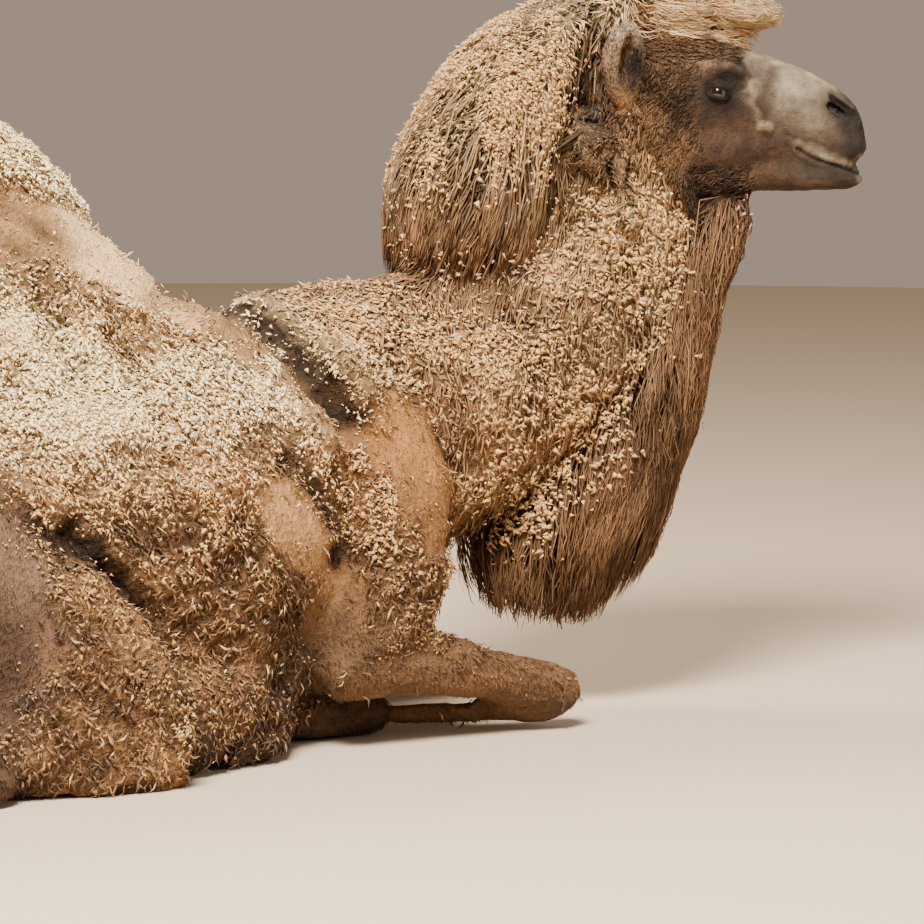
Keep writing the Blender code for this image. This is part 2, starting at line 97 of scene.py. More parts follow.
# How deep the skin lies under the tips of the coat.
DEPTHS = {
    "trunk": 0.014, "hump_front": 0.012, "hump_rear": 0.012, "neck": 0.014, "head": 0.010, "mane": 0.034,
    "beard": 0.032, "crown_tuft": 0.030, "tail": 0.012, "foreleg": 0.009, "hindleg": 0.011, "forefoot": 0.003,
    "hindfoot": 0.003, "ear": 0.001,
}

# The hair hangs free below these masses' skin: how far, and how high up that starts.
FREE_EDGES = {"mane": (0.075, 0.22), "beard": (0.095, 0.30)}
# The grain of the remeshed surfaces: the body's outer one, its skin under the coat, and the head's.
OUTER_GRAIN, SKIN_GRAIN, HEAD_GRAIN = 0.0105, 0.0098, 0.0030
MOST_SKIN = 196000  # triangles
SKIN_FLOOR, COAT_FLOOR = 0.0008, 0.0004  # the lowest that skin and coat come to the ground
WIDEST_MARGIN = 0.018  # beyond this far inside the CAD's sides the skin bulges little

# --- colours, as sRGB bytes
PALETTE = {
    "straw": (255, 238, 192), "cream": (248, 218, 160), "sand": (222, 186, 138), "gold": (162, 120, 78),
    "golden_brown": (112, 79, 49), "tan": (134, 99, 65), "brown": (96, 70, 48), "umber": (68, 49, 34),
    "dark": (50, 35, 23), "shade": (26, 17, 11), "rust": (60, 41, 27), "red_brown": (86, 60, 40),
    "blond": (244, 218, 172), "plum": (80, 61, 50), "face_grey": (101, 89, 75), "face_pale": (138, 123, 103),
    "face_brown": (60, 44, 33), "temple": (92, 69, 50), "muzzle": (38, 33, 28), "lip": (108, 96, 80),
    "near_black": (19, 15, 12), "ear_rim": (112, 88, 68), "ear_tip": (158, 138, 114), "ear_dark": (30, 22, 16),
    "hoof": (60, 48, 38), "cheek": (56, 41, 31), "brow": (122, 97, 75), "knob": (142, 122, 96),
    "mottle": (68, 57, 47), "lock": (146, 108, 73), "shoulder": (140, 98, 56), "stain": (150, 126, 62),
    "flake": (230, 188, 126), "crumb": (180, 138, 86),
}


def linear(colour):
    """An sRGB byte triple as the linear light that a shader wants."""
    share = np.array(colour) / 255
    return np.where(share <= 0.04045, share / 12.92, ((share + 0.055) / 1.055) ** 2.4)


COLOUR = {name: linear(value) for name, value in PALETTE.items()}

# Areas of both flanks in the side view: along, up, half length, half height and tilt in degrees. Those of
# FLANK_COLOURS also have a colour and its share.
SMOOTH_AREAS = [
    (-0.08, 0.885, 0.300, 0.075, -24),
    (-0.38, 0.985, 0.100, 0.070, -35),
    (0.125, 0.425, 0.150, 0.052, -45),
    (0.220, 0.250, 0.085, 0.140, 8),
    (0.390, 0.500, 0.085, 0.160, 12),
    (-0.545, 0.350, 0.115, 0.250, 6),
]
# A smooth band runs from the back down between the barrel's felt and the neck's.
SMOOTH_BAND = [(-0.05, 0.865), (0.07, 0.795), (0.15, 0.715), (0.24, 0.625), (0.33, 0.565), (0.38, 0.47)]
BAND_HALF = 0.036
SHEET_RIM = 0.16  # how softly the felt's sheets end against the sleek fur
SHEET_RISE = 0.013  # how far the felt's sheets stand above it
FLANK_COLOURS = [
    (-0.02, 0.900, 0.330, 0.090, -22, "sand", 0.6),
    (0.120, 0.740, 0.170, 0.055, -42, "tan", 0.9),
    (-0.38, 1.000, 0.150, 0.120, -35, "tan", 0.95),
    (0.000, 0.300, 0.320, 0.140, 0, "golden_brown", 0.6),
    (0.130, 0.425, 0.170, 0.070, -45, "gold", 0.85),
    (0.220, 0.250, 0.120, 0.130, 8, "golden_brown", 0.7),
    # Painted shadow low between the barrel and the foreleg.
    (0.215, 0.150, 0.170, 0.110, 8, "umber", 0.85),
    (0.350, 0.520, 0.140, 0.190, 12, "shoulder", 0.95),
    (0.380, 0.400, 0.140, 0.110, 0, "golden_brown", 0.75),
    (0.500, 0.600, 0.090, 0.090, -30, "golden_brown", 0.7),
    (0.660, 0.790, 0.080, 0.050, 0, "golden_brown", 0.6),
    (-0.545, 0.350, 0.125, 0.265, 6, "plum", 0.95),
    (-0.470, 0.430, 0.090, 0.070, -40, "brow", 0.45),
    (-0.560, 0.230, 0.100, 0.120, 0, "face_brown", 0.7),
    (-0.330, 0.430, 0.054, 0.026, -50, "shade", 1.0),
    (-0.250, 0.330, 0.060, 0.100, -40, "gold", 0.6),
]
# Where few pale flecks lie, on both sides of the neck: along, up, half length, half height, tilt.
CLEAN_AREAS = [
    (0.490, 0.600, 0.110, 0.090, -30), (0.670, 0.790, 0.090, 0.055, 0), (0.780, 0.930, 0.050, 0.090, 20),
]
# Lines on the flanks in the side view: (along, up) points, half width, how far they stand out, darkening,
# which is painted shade in the creases, grooves and wrinkles.
THIGH_RIM = [(-0.34, 0.365), (-0.27, 0.290), (-0.215, 0.20), (-0.185, 0.08)]
FOLDS = [
    ([(0.02, 0.80), (0.08, 0.71), (0.17, 0.60), (0.235, 0.52), (0.265, 0.45), (0.25, 0.38)], 0.024, 0.02, 0),
    ([(0.105, 0.555), (0.150, 0.51), (0.190, 0.46), (0.222, 0.41), (0.233, 0.36)], 0.016, -0.028, 0.9),
    ([(0.170, 0.84), (0.230, 0.80), (0.258, 0.745), (0.285, 0.67), (0.315, 0.61)], 0.026, 0.028, 0.0),
    ([(0.138, 0.815), (0.176, 0.785), (0.194, 0.738), (0.224, 0.668), (0.256, 0.605)], 0.025, -0.034, 0.95),
    ([(0.162, 0.822), (0.198, 0.790), (0.218, 0.742), (0.246, 0.674), (0.278, 0.612)], 0.020, 0.0, 0.88),
    ([(-0.52, 0.585), (-0.42, 0.520), (-0.33, 0.455), (-0.27, 0.40)], 0.022, 0.020, 0.0),
    (THIGH_RIM, 0.022, 0.020, 0.0),
    ([(-0.275, 0.375), (-0.215, 0.310), (-0.170, 0.215), (-0.130, 0.10)], 0.017, -0.030, 0.85),
    ([(-0.52, 0.535), (-0.44, 0.480), (-0.38, 0.425)], 0.014, -0.012, 0.8),
    ([(-0.37, 0.47), (-0.325, 0.43), (-0.290, 0.385)], 0.018, -0.034, 0.95),
    ([(-0.42, 1.03), (-0.34, 0.995), (-0.28, 0.95)], 0.009, -0.010, 0.6),
    ([(-0.46, 0.99), (-0.38, 0.955), (-0.32, 0.91)], 0.008, -0.009, 0.5),
    ([(-0.47, 0.945), (-0.40, 0.92), (-0.35, 0.875)], 0.008, -0.008, 0.4),
]
# The small marks of the neck's right side, as areas.
NECK_MARKS = [(0.683, 0.744, 0.026, 0.020, 10, "umber", 1.0), (0.581, 0.702, 0.034, 0.024, -20, "stain", 0.7)]
# A small ball of wool at the hump's foot: along, up, half width, height.
WOOL_KNOB = (-0.305, 0.888, 0.034, 0.020)

# --- small helpers
RNG = np.random.default_rng(11)
LATTICE = np.random.default_rng(5).random((32, 32, 32))


def noise(points, size, seed=0):
    """Smooth noise from 0 to 1 with lumps of about this size in metres."""
    p = points / size + 7.7 * (seed + 1)
    cell = np.floor(p).astype(int)
    part = p - cell
    part = part * part * (3 - 2 * part)
    total = np.zeros(len(points))
    for corner in product((0, 1), repeat=3):
        corner = np.array(corner)
        share = np.where(corner, part, 1 - part).prod(1)
        i, j, k = ((cell + corner) % 32).T
        total += share * LATTICE[i, j, k]
    return total


def step(low, high, value):
    """0 below low, 1 above high, and smooth between; low may be the larger."""
    share = np.clip((value - low) / (high - low), 0, 1)
    return share * share * (3 - 2 * share)


def mix(a, b, share):
    share = np.asarray(share)[:, None]
    return a * (1 - share) + b * share


def layered(colour, layers):
    """Colours with each layer's named colour mixed over them by its share, in order."""
    for name, share in layers:
        colour = mix(colour, COLOUR[name], share)
    return colour


def unit(vectors):
    return vectors / np.maximum(np.linalg.norm(vectors, axis=-1, keepdims=True), 1e-9)


def dot(a, b):
    return (a * b).sum(-1)


def along_skin(way, normals):
    """The direction way, laid along the skin."""
    return unit(way - normals * dot(way, normals)[:, None])


def in_head(points):
    """Positions measured from between the eyes: ahead, out to the camel's right, and up."""
    away = points - FACE_MIDDLE
    return np.stack([away @ AHEAD, away @ OUT, away[:, 2]], 1)


def from_head(ahead, out, up):
    return FACE_MIDDLE + AHEAD * ahead + OUT * out + UP * up


def line_distance(points, line):
    """The distance of 2-D points from a line of 2-D points."""
    best = np.full(len(points), 1e9)
    for a, b in zip(np.array(line[:-1]), np.array(line[1:])):
        share = np.clip((points - a) @ (b - a) / ((b - a) @ (b - a)), 0, 1)
        best = np.minimum(best, np.linalg.norm(points - a - share[:, None] * (b - a), axis=1))
    return best


def patch(points, centre, half, tilt, rim=0.35):
    """1 inside a tilted ellipse of 2-D points and 0 outside, over a soft rim."""
    away = points - np.array(centre)
    turn = radians(tilt)
    x = away[:, 0] * cos(turn) + away[:, 1] * sin(turn)
    y = -away[:, 0] * sin(turn) + away[:, 1] * cos(turn)
    return step(1 + rim, 1 - rim, np.hypot(x / half[0], y / half[1]))


def patches(points, table, rim=0.35):
    """How far 2-D points lie in each area of a table."""
    return [patch(points, (x, y), (half_x, half_y), tilt, rim) for x, y, half_x, half_y, tilt, *_ in table]


def areas(points, table, rim=0.35):
    """The layers of colour that a table's areas lay on 2-D points."""
    return [(name, share * near) for (*_, name, share), near in zip(table, patches(points, table, rim))]


# --- meshes as arrays
def arrays_of(mesh):
    """A mesh's vertices and triangles."""
    verts = np.empty(len(mesh.vertices) * 3, np.float32)
    mesh.vertices.foreach_get("co", verts)
    mesh.calc_loop_triangles()
    tris = np.empty(len(mesh.loop_triangles) * 3, np.int32)
    mesh.loop_triangles.foreach_get("vertices", tris)
    return verts.reshape(-1, 3).astype(float), tris.reshape(-1, 3)


def object_from(name, verts, tris):
    mesh = bpy.data.meshes.new(name)
    mesh.vertices.add(len(verts))
    mesh.vertices.foreach_set("co", np.asarray(verts, np.float32).ravel())
    mesh.loops.add(len(tris) * 3)
    mesh.loops.foreach_set("vertex_index", np.asarray(tris, np.int32).ravel())
    mesh.polygons.add(len(tris))
    mesh.polygons.foreach_set("loop_start", np.arange(0, len(tris) * 3, 3, dtype=np.int32))
    mesh.update(calc_edges=True)
    mesh.shade_smooth()
    obj = bpy.data.objects.new(name, mesh)
    bpy.context.scene.collection.objects.link(obj)
    return obj


def discard(obj):
    mesh = obj.data
    bpy.data.objects.remove(obj)
    bpy.data.meshes.remove(mesh)


def baked(obj):
    """The vertices and triangles of obj with its modifiers; obj is used up."""
    made = bpy.data.meshes.new_from_object(obj.evaluated_get(bpy.context.evaluated_depsgraph_get()))
    arrays = arrays_of(made)
    bpy.data.meshes.remove(made)
    discard(obj)
    return arrays


def arrays_of_bmesh(bm):
    """The vertices and triangles of bm; bm is used up."""
    mesh = bpy.data.meshes.new("work")
    bm.to_mesh(mesh)
    bm.free()
    arrays = arrays_of(mesh)
    bpy.data.meshes.remove(mesh)
    return arrays


def modify(obj, kind, **settings):
    modifier = obj.modifiers.new(kind.lower(), kind)
    for name, value in settings.items():
        setattr(modifier, name, value)


def gathered(parts):
    """One set of arrays from several."""
    verts, tris, start = [], [], 0
    for v, t in parts:
        verts.append(v)
        tris.append(t + start)
        start += len(v)
    return np.concatenate(verts), np.concatenate(tris)


def one_skin(arrays, voxel, smoothing):
    """A single closed skin round all the arrays' bodies."""
    obj = object_from("skin_work", *arrays)
    modify(obj, "REMESH", mode="VOXEL", voxel_size=voxel)
    modify(obj, "SMOOTH", factor=0.5, iterations=smoothing)
    return baked(obj)


def normals_of(verts, tris):
    a, b, c = (verts[tris[:, i]] for i in range(3))
    face = np.cross(b - a, c - a)
    total = np.zeros_like(verts)
    for i in range(3):
        for axis in range(3):
            total[:, axis] += np.bincount(tris[:, i], face[:, axis], len(verts))
    return unit(total)


def smoothed(values, tris, rounds, share=0.5):
    """Values at the vertices, each drawn towards its neighbours' mean."""
    pairs = np.concatenate([tris[:, [0, 1]], tris[:, [1, 2]], tris[:, [2, 0]]])
    pairs = np.concatenate([pairs, pairs[:, ::-1]])
    count = np.bincount(pairs[:, 0], minlength=len(values))
    flat = values.reshape(len(values), -1).astype(float)
    share = np.broadcast_to(share, len(values))[:, None]
    for _ in range(rounds):
        total = [np.bincount(pairs[:, 0], flat[pairs[:, 1], i], len(values)) for i in range(flat.shape[1])]
        flat = flat * (1 - share) + np.stack(total, 1) / np.maximum(count, 1)[:, None] * share
    return flat.reshape(values.shape)


def tree_of(verts, tris):
    return BVHTree.FromPolygons(verts.tolist(), tris.tolist())


def nearest(tree, points):
    """The nearest place on a tree's faces to each point, the face's normal and its number."""
    found = [tree.find_nearest(point) for point in points.tolist()]
    places = np.array([f[0] for f in found])
    normals = np.array([f[1] for f in found])
    return places, normals, np.array([f[2] for f in found])


# --- the CAD's outer surface
def cad_arrays(names):
    return gathered([arrays_of(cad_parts[name].data) for name in names])


def make_cad_lookup():
    """A tree of all the nodes' faces, and the number of the node that each face is of."""
    parts = [arrays_of(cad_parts[name].data) for name in NAMES]
    owner = [np.full(len(tris), NUMBER[name]) for name, (_, tris) in zip(NAMES, parts)]
    return tree_of(*gathered(parts)), np.concatenate(owner)


CAD_TREE, CAD_OWNER = make_cad_lookup()


def owners(points):
    return CAD_OWNER[nearest(CAD_TREE, points)[2]]


def is_in(owner, *kinds):
    """Which points belong to nodes whose names start with one of kinds."""
    return np.isin(owner, [NUMBER[name] for name in NAMES if name.startswith(kinds)])


def seam_distance(local):
    """How far ahead of the seam behind the jaw a point lies, from its place in the head."""
    return (local[:, [0, 2]] - JAW_SEAM) @ JAW_SEAM_WAY


# --- what lies where on the coat
def side_view(points, seed=0):
    """Points as (along, up), shaken a little so that no marking has a drawn edge."""
    shake, fray = (
        np.stack([noise(points, size, first) - 0.5, noise(points, size, first + 1) - 0.5], 1)
        for size, first in ((0.05, seed), (0.018, seed + 60))
    )
    return points[:, [0, 2]] + 0.06 * shake + 0.022 * fray


def flank_only(owner):
    return is_in(owner, "trunk", "hump", "foreleg", "hindleg", "neck")


def low_foreleg(points, owner, bottom=0.16):
    """1 on the forelegs below this height, and less up to the elbow's."""
    return is_in(owner, "foreleg") * step(0.26, bottom, points[:, 2])


def smoothness(points, owner):
    """1 where the fur is short and sleek, 0 where it is felted wool."""
    seen = side_view(points)
    sleek = np.max(patches(seen, SMOOTH_AREAS, SHEET_RIM), 0)
    sleek = np.maximum(sleek, step(1.3, 0.7, line_distance(seen, SMOOTH_BAND) / BAND_HALF))
    sleek = np.maximum(sleek * flank_only(owner), is_in(owner, "head", "ear", "forefoot", "hindfoot"))
    return np.maximum(sleek, low_foreleg(points, owner))


def fold_effects(points, owner):
    """How far the folds move the skin out, and how much their painted shade darkens it."""
    seen = points[:, [0, 2]]
    out, dark = np.zeros(len(points)), np.zeros(len(points))
    for line, half, height, shade in FOLDS:
        near = np.exp(-((line_distance(seen, line) / half) ** 2))
        out += near * height
        dark = np.maximum(dark, near * shade)
    along, up, half, height = WOOL_KNOB
    out += height * patch(seen, (along, up), (half, half * 0.8), 0, 0.6)
    facing = flank_only(owner)
    return out * facing, dark * facing


def clumping(points):
    """How the wool gathers in lumps: 1 on top of a lump and 0 in the gap between two."""
    return step(0.36, 0.64, 0.55 * noise(points, 0.070, 40) + 0.45 * noise(points, 0.026, 41))


def sheets(points):
    """How the felt lies in sheets that run down and ahead: 1 on a sheet, 0 in the dip between two."""
    flow = radians(-38)
    down = points[:, 0] * cos(flow) + points[:, 2] * sin(flow)
    across = points[:, 2] * cos(flow) - points[:, 0] * sin(flow)
    return step(0.36, 0.62, noise(np.stack([down * 0.30, points[:, 1] * 0.6, across], 1), 0.060, 48))


def clean(points):
    """1 in the areas of the neck where few flecks lie."""
    return np.max(patches(side_view(points, 8), CLEAN_AREAS, 0.5), 0)


def on_shoulders(points):
    """1 on the felt of the shoulders and withers, ahead of the smooth band."""
    return step(0.17, 0.22, points[:, 0]) * step(0.56, 0.64, points[:, 2])


def on_thigh_rim(points):
    return step(0.030, 0.010, line_distance(points[:, [0, 2]], THIGH_RIM))


def short_of_folds(roots, length):
    """Lengths of tufts, cut where they would hang over a fold's painted shade and hide it."""
    there = fold_effects(roots.place + roots.way * length[:, None] * 0.8, roots.owner)[1]
    here = fold_effects(roots.place, roots.owner)[1]
    return length * (1 - 0.75 * np.clip(np.maximum(there, here) * 1.4, 0, 1))


def neck_marks(points, owner):
    """The layers of colour of the small marks on the neck's right side."""
    right = is_in(owner, "neck", "beard") * (points[:, 1] < FACE_MIDDLE[1] + 0.2)
    return [(name, right * share) for name, share in areas(side_view(points, 8), NECK_MARKS)]


def thin_wool(points):
    """1 on the broad patches where the moult has left golden wool with few flakes."""
    slanted = points * [1, 1, 1.6] + points[:, [2, 2, 0]] * [0.7, 0, 0.5]
    return step(0.50, 0.64, 0.7 * noise(slanted, 0.170, 45) + 0.3 * noise(points, 0.040, 47))


def hanks(points):
    """The same for long hair: 1 on an upright bundle of it and 0 between two."""
    return step(0.30, 0.70, noise(points * [1, 1, 0.28], 0.040, 4))


def relief(points, owner):
    """How far the skin stands out of its mean level."""
    sleek = smoothness(points, owner)
    on_body = flank_only(owner)
    lumps = 0.014 * (noise(points, 0.13, 2) - 0.5) + 0.016 * (clumping(points) - 0.5)
    lumps += is_in(owner, "trunk", "hump") * 0.014 * (sheets(points) - 0.5)
    hair = is_in(owner, "mane", "beard", "crown")
    made = on_body * (0.20 + 0.80 * (1 - sleek)) * (1 - below_ears(points)) * lumps
    made -= SHEET_RISE * on_body * sleek
    made += hair * 0.022 * (hanks(points) - 0.6)
    return made + fold_effects(points, owner)[0]


def skin_colour(points, owner):
    """The colour of the under-coat and of the short fur; the tufts take it from their roots."""
    height = points[:, 2]
    up = height + 0.10 * (noise(points, 0.16, 6) - 0.5)
    # Darker towards the bottom; the umber next to the ground is painted shade.
    colour = layered(mix(COLOUR["umber"], COLOUR["golden_brown"], step(0.00, 0.12, up)), [
        ("gold", step(0.42, 0.58, up)),
        ("sand", step(0.52, 0.68, up)),
        ("cream", 0.9 * step(0.60, 0.74, up)),
        ("gold", 0.6 * on_shoulders(points)),
        ("gold", 0.80 * thin_wool(points) * step(1.10, 0.80, up)),
        ("gold", 0.45 * (1 - sheets(points)) * step(0.50, 0.66, up)),
    ])
    # Darker in the gaps between the wool's lumps: partly the browner wool beneath, partly painted shade.
    colour *= (0.72 + 0.42 * clumping(points))[:, None]
    flank, neck, hairy = flank_only(owner), is_in(owner, "neck"), is_in(owner, "mane", "beard")
    flank_areas = areas(side_view(points, 8), FLANK_COLOURS)
    colour = layered(colour, [(name, flank * share) for name, share in flank_areas])
    colour = layered(colour, [
        ("gold", neck),
        ("sand", neck * step(0.58, 0.72, up) * 0.75),
        ("golden_brown", neck * 0.75 * step(0.48, 0.62, noise(points, 0.09, 12))),
        ("red_brown", hairy),
        ("sand", is_in(owner, "mane") * 0.9 * step(1.02, 1.15, height)),
    ])
    # Painted shade in the gaps between the hanks of the mane and beard.
    colour *= (1 - 0.45 * hairy * (1 - hanks(points)))[:, None]
    low_leg = low_foreleg(points, owner, 0.14)
    knee = step(KNEE_FRONT - 0.14, KNEE_FRONT - 0.05, points[:, 0]) * step(0.085, 0.045, height)
    colour = layered(colour, [
        ("gold", is_in(owner, "crown")),
        ("umber", is_in(owner, "tail", "forefoot", "hindfoot")),
        ("hoof", is_in(owner, "forefoot", "hindfoot") * step(0.02, 0.008, height)),
        ("brown", 0.7 * low_leg),
        ("plum", low_leg * knee),
    ])
    dark = fold_effects(points, owner)[1]
    colour = layered(face_colour(colour, points, owner), neck_marks(points, owner))
    # The folds' painted shade: brown at its edges and near black in its middle.
    colour = layered(colour, [("brown", np.sqrt(dark)), ("shade", dark)])
    return colour * (0.74 + 0.52 * noise(points, 0.028, 9))[:, None]


# Areas of the head's sides: ahead, up, half length, half height, tilt in degrees, colour, share.
FACE_COLOURS = [
    # Painted shade in the hollow behind the ear.
    (-0.200, 0.010, 0.060, 0.120, 15, "umber", 0.85),
    (-0.130, 0.045, 0.032, 0.064, 0, "umber", 0.85),
    (-0.130, -0.095, 0.085, 0.070, 20, "golden_brown", 0.85),
    (-0.085, -0.060, 0.050, 0.030, 40, "temple", 0.5),
    (-0.060, 0.050, 0.050, 0.045, 0, "temple", 0.85),
    (-0.095, 0.010, 0.040, 0.026, 30, "brown", 0.7),
    (-0.045, 0.012, 0.038, 0.034, 20, "cheek", 0.8),
    (-0.020, -0.060, 0.070, 0.034, 0, "face_brown", 0.8),
    (0.000, 0.072, 0.040, 0.016, -12, "brow", 0.75),
    (0.158, 0.005, 0.110, 0.074, -25, "face_grey", 0.95),
    (0.135, 0.062, 0.120, 0.020, -24, "face_pale", 0.85),
    (0.160, 0.010, 0.040, 0.022, -25, "face_pale", 0.4),
    (0.100, 0.012, 0.016, 0.042, 6, "mottle", 0.75),
    (0.072, -0.040, 0.028, 0.034, 0, "face_brown", 0.8),
    (0.085, -0.108, 0.085, 0.030, -3, "cheek", 0.95),
    (0.040, -0.150, 0.120, 0.024, 0, "umber", 0.5),
    (0.130, -0.070, 0.050, 0.016, -10, "mottle", 0.6),
    (0.066, 0.014, 0.007, 0.042, 4, "face_pale", 0.5),
    (0.080, -0.042, 0.006, 0.022, 26, "face_pale", 0.3),
    (0.097, -0.064, 0.012, 0.010, 0, "knob", 0.7),
    (0.236, -0.034, 0.046, 0.028, -34, "muzzle", 0.9),
    (0.262, -0.088, 0.032, 0.046, 12, "muzzle", 0.95),
    (0.215, -0.088, 0.034, 0.022, -20, "mottle", 0.6),
    (0.212, -0.120, 0.070, 0.010, -22, "lip", 0.75),
    (0.285, -0.128, 0.012, 0.012, 0, "lip", 0.8),
    (0.215, -0.156, 0.080, 0.020, -10, "muzzle", 0.9),
    (0.283, -0.172, 0.012, 0.010, 0, "face_pale", 0.8),
    (0.034, 0.036, 0.032, 0.026, 0, "near_black", 0.85),
    (-0.002, 0.008, 0.046, 0.034, -10, "near_black", 0.8),
    (-0.012, -0.028, 0.034, 0.026, 20, "near_black", 0.6),
    (0.036, -0.018, 0.032, 0.026, 0, "near_black", 0.6),
]
FACE_WAVE = 0.016  # how far the edges of these areas waver
MOUTH_LINE = [(0.156, -0.108), (0.190, -0.128), (0.235, -0.143), (0.285, -0.160)]
# How far from the mouth's line its painted shade reaches.
MOUTH_DARK = 0.0036
NOSTRIL = (0.240, -0.029)  # ahead and up
NOSTRIL_TILT = radians(-36)
NOSTRIL_HALF = (0.029, 0.0085)
NOSTRIL_DEPTH = 0.010
KNOB = (0.097, 0.060, -0.064)  # a small swelling of the cheek
EAR_CUP = (0.022, 0.012)  # the ear's hollow from its node's middle: ahead and out
EAR_CUP_HALF = (0.028, 0.028, 0.052)
# The eye's almond opening: how far it reaches ahead, back, up and down, and how pointed it is.
EYE_AHEAD, EYE_BACK, EYE_ABOVE, EYE_BELOW, EYE_POINT = 0.0185, 0.0205, 0.0076, 0.0058, 1.7


def shade_behind_ears(points):
    """1 in the hollow between the ears and the mop of the mane, where shade is painted."""
    return patch(in_head(points)[:, [0, 2]], (-0.225, 0.010), (0.050, 0.130), 8, 0.5)


def below_ears(points):
    """1 on the clean brown hair between the ears and the flecked neck."""
    local = in_head(points) + 0.05 * (noise(points, 0.05, 46) - 0.5)[:, None]
    behind = step(-0.31, -0.27, local[:, 0]) * step(-0.215, -0.175, local[:, 2])
    return behind * step(-0.02, -0.06, local[:, 0])


def nostril_reach(local, grow=1.0):
    """0 in the middle of a nostril and 1 at its edge, in the head's side view."""
    ahead, up = local[:, 0] - NOSTRIL[0], local[:, 2] - NOSTRIL[1]
    a = ahead * cos(NOSTRIL_TILT) + up * sin(NOSTRIL_TILT)
    b = -ahead * sin(NOSTRIL_TILT) + up * cos(NOSTRIL_TILT) - 5.0 * a * a
    return np.hypot(a / (NOSTRIL_HALF[0] * grow), b / (NOSTRIL_HALF[1] * grow))


def beside_middle(local):
    """0 along the middle of the nose, 1 from a little beside it on."""
    return step(0.012, 0.024, np.abs(local[:, 1]))


def mouth_distance(local):
    return line_distance(local[:, [0, 2]], MOUTH_LINE)


def face_colour(colour, points, owner):
    """The body's colours with those of the face and the ears over them."""
    local = in_head(points)
    wave = [noise(points, 0.016, seed) - 0.5 for seed in (14, 15)]
    made = layered(mix(COLOUR["rust"], COLOUR["face_brown"], step(-0.14, -0.04, local[:, 0])), [
        ("golden_brown", step(0.05, 0.11, local[:, 2]) * step(0.04, -0.06, local[:, 0])),
        *areas(local[:, [0, 2]] + FACE_WAVE * np.stack(wave, 1), FACE_COLOURS, 0.6),
    ])
    grain = (0.72 + 0.56 * noise(points, 0.019, 16)) * (0.84 + 0.32 * noise(points, 0.007, 17))
    made = layered(made * grain[:, None], [
        # Painted shade: near black in the nostrils and along the mouth's groove.
        ("near_black", beside_middle(local) * step(1.45, 0.95, nostril_reach(local))),
        ("near_black", 0.85 * step(MOUTH_DARK, 0.4 * MOUTH_DARK, mouth_distance(local))),
    ])
    colour = mix(colour, made, is_in(owner, "head") * step(-0.06, 0.02, seam_distance(local)))
    ear, above = is_in(owner, "ear"), points[:, 2] - middle("ear_right").z
    hollow = np.zeros(len(points))
    for side, sign in SIDES.items():
        cup = np.array(middle(f"ear_{side}")) + AHEAD * EAR_CUP[0] + OUT * sign * EAR_CUP[1]
        hollow = np.maximum(hollow, step(1.3, 0.7, np.linalg.norm((points - cup) / EAR_CUP_HALF, axis=1)))
    return layered(colour, [
        ("ear_rim", ear),
        ("golden_brown", ear * step(-0.02, -0.07, above)),
        # Painted highlight on the ear's top.
        ("ear_tip", ear * step(0.045, 0.075, above)),
        # Painted shade in the ear's hollow.
        ("ear_dark", ear * hollow),
        ("golden_brown", 0.8 * below_ears(points) * is_in(owner, "neck", "beard")),
        # Painted shade in the hollow behind the ears.
        ("umber", 0.9 * shade_behind_ears(points) * is_in(owner, "mane", "neck")),
    ])


# --- the skin
def depth_under_tips(points, owner):
    """How deep the skin lies under the coat's tips, less near the ground and on the low forelegs."""
    depths = np.array([DEPTHS.get(name, DEPTHS.get(name.split("_")[0])) for name in NAMES])
    return depths[owner] * step(-0.02, 0.09, points[:, 2]) * (1 - 0.75 * low_foreleg(points, owner))


def coarse_skin():
    """The body's outer surface, and its skin with the head still rough."""
    verts, tris = one_skin(cad_arrays(BODY + ["head"] + HAIR), OUTER_GRAIN, 3)
    owner = owners(verts)
    depth = smoothed(depth_under_tips(verts, owner), tris, 6)
    depth += is_in(owner, "head") * 0.006 * step(0, 0.03, seam_distance(in_head(verts)))
    inner = verts - normals_of(verts, tris) * depth[:, None]
    for name, (rise, reach) in FREE_EDGES.items():
        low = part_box(name)[0].z
        inner[:, 2] += (owner == NUMBER[name]) * rise * step(low + reach, low, verts[:, 2])
    inner_verts, inner_tris = one_skin((inner, tris), SKIN_GRAIN, 2)
    inner_verts[:, 2] = np.maximum(inner_verts[:, 2], SKIN_FLOOR)
    return (verts, tris), (inner_verts, inner_tris)


def neck_stub():
    """The top of the neck, cut off square behind the jaw, for the head's fine skin to end in."""
    bm = bmesh.new()
    bm.from_mesh(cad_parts["neck"].data)
    ahead, up = JAW_SEAM - JAW_SEAM_WAY * 0.11
    way = Vector(AHEAD * JAW_SEAM_WAY[0] + UP * JAW_SEAM_WAY[1])
    cut = Vector(from_head(ahead, 0, up))
    geom = bm.verts[:] + bm.edges[:] + bm.faces[:]
    bmesh.ops.bisect_plane(bm, geom=geom, plane_co=cut, plane_no=way, clear_inner=True)
    bmesh.ops.triangle_fill(bm, edges=[edge for edge in bm.edges if edge.is_boundary], use_beauty=True)
    bmesh.ops.recalc_face_normals(bm, faces=bm.faces)
    return arrays_of_bmesh(bm)


def finer_near(verts, tris, centres, reach):
    """Cuts each edge near the centres in two."""
    obj = object_from("fine_work", verts, tris)
    bm = bmesh.new()
    bm.from_mesh(obj.data)
    discard(obj)
    near = np.min([np.linalg.norm(verts - centre, axis=1) for centre in centres], 0) < reach
    bm.verts.ensure_lookup_table()
    edges = [edge for edge in bm.edges if near[edge.verts[0].index] and near[edge.verts[1].index]]
    bmesh.ops.subdivide_edges(bm, edges=edges, cuts=1, use_grid_fill=True, smooth=0.0)
    bmesh.ops.triangulate(bm, faces=bm.faces)
    return arrays_of_bmesh(bm)


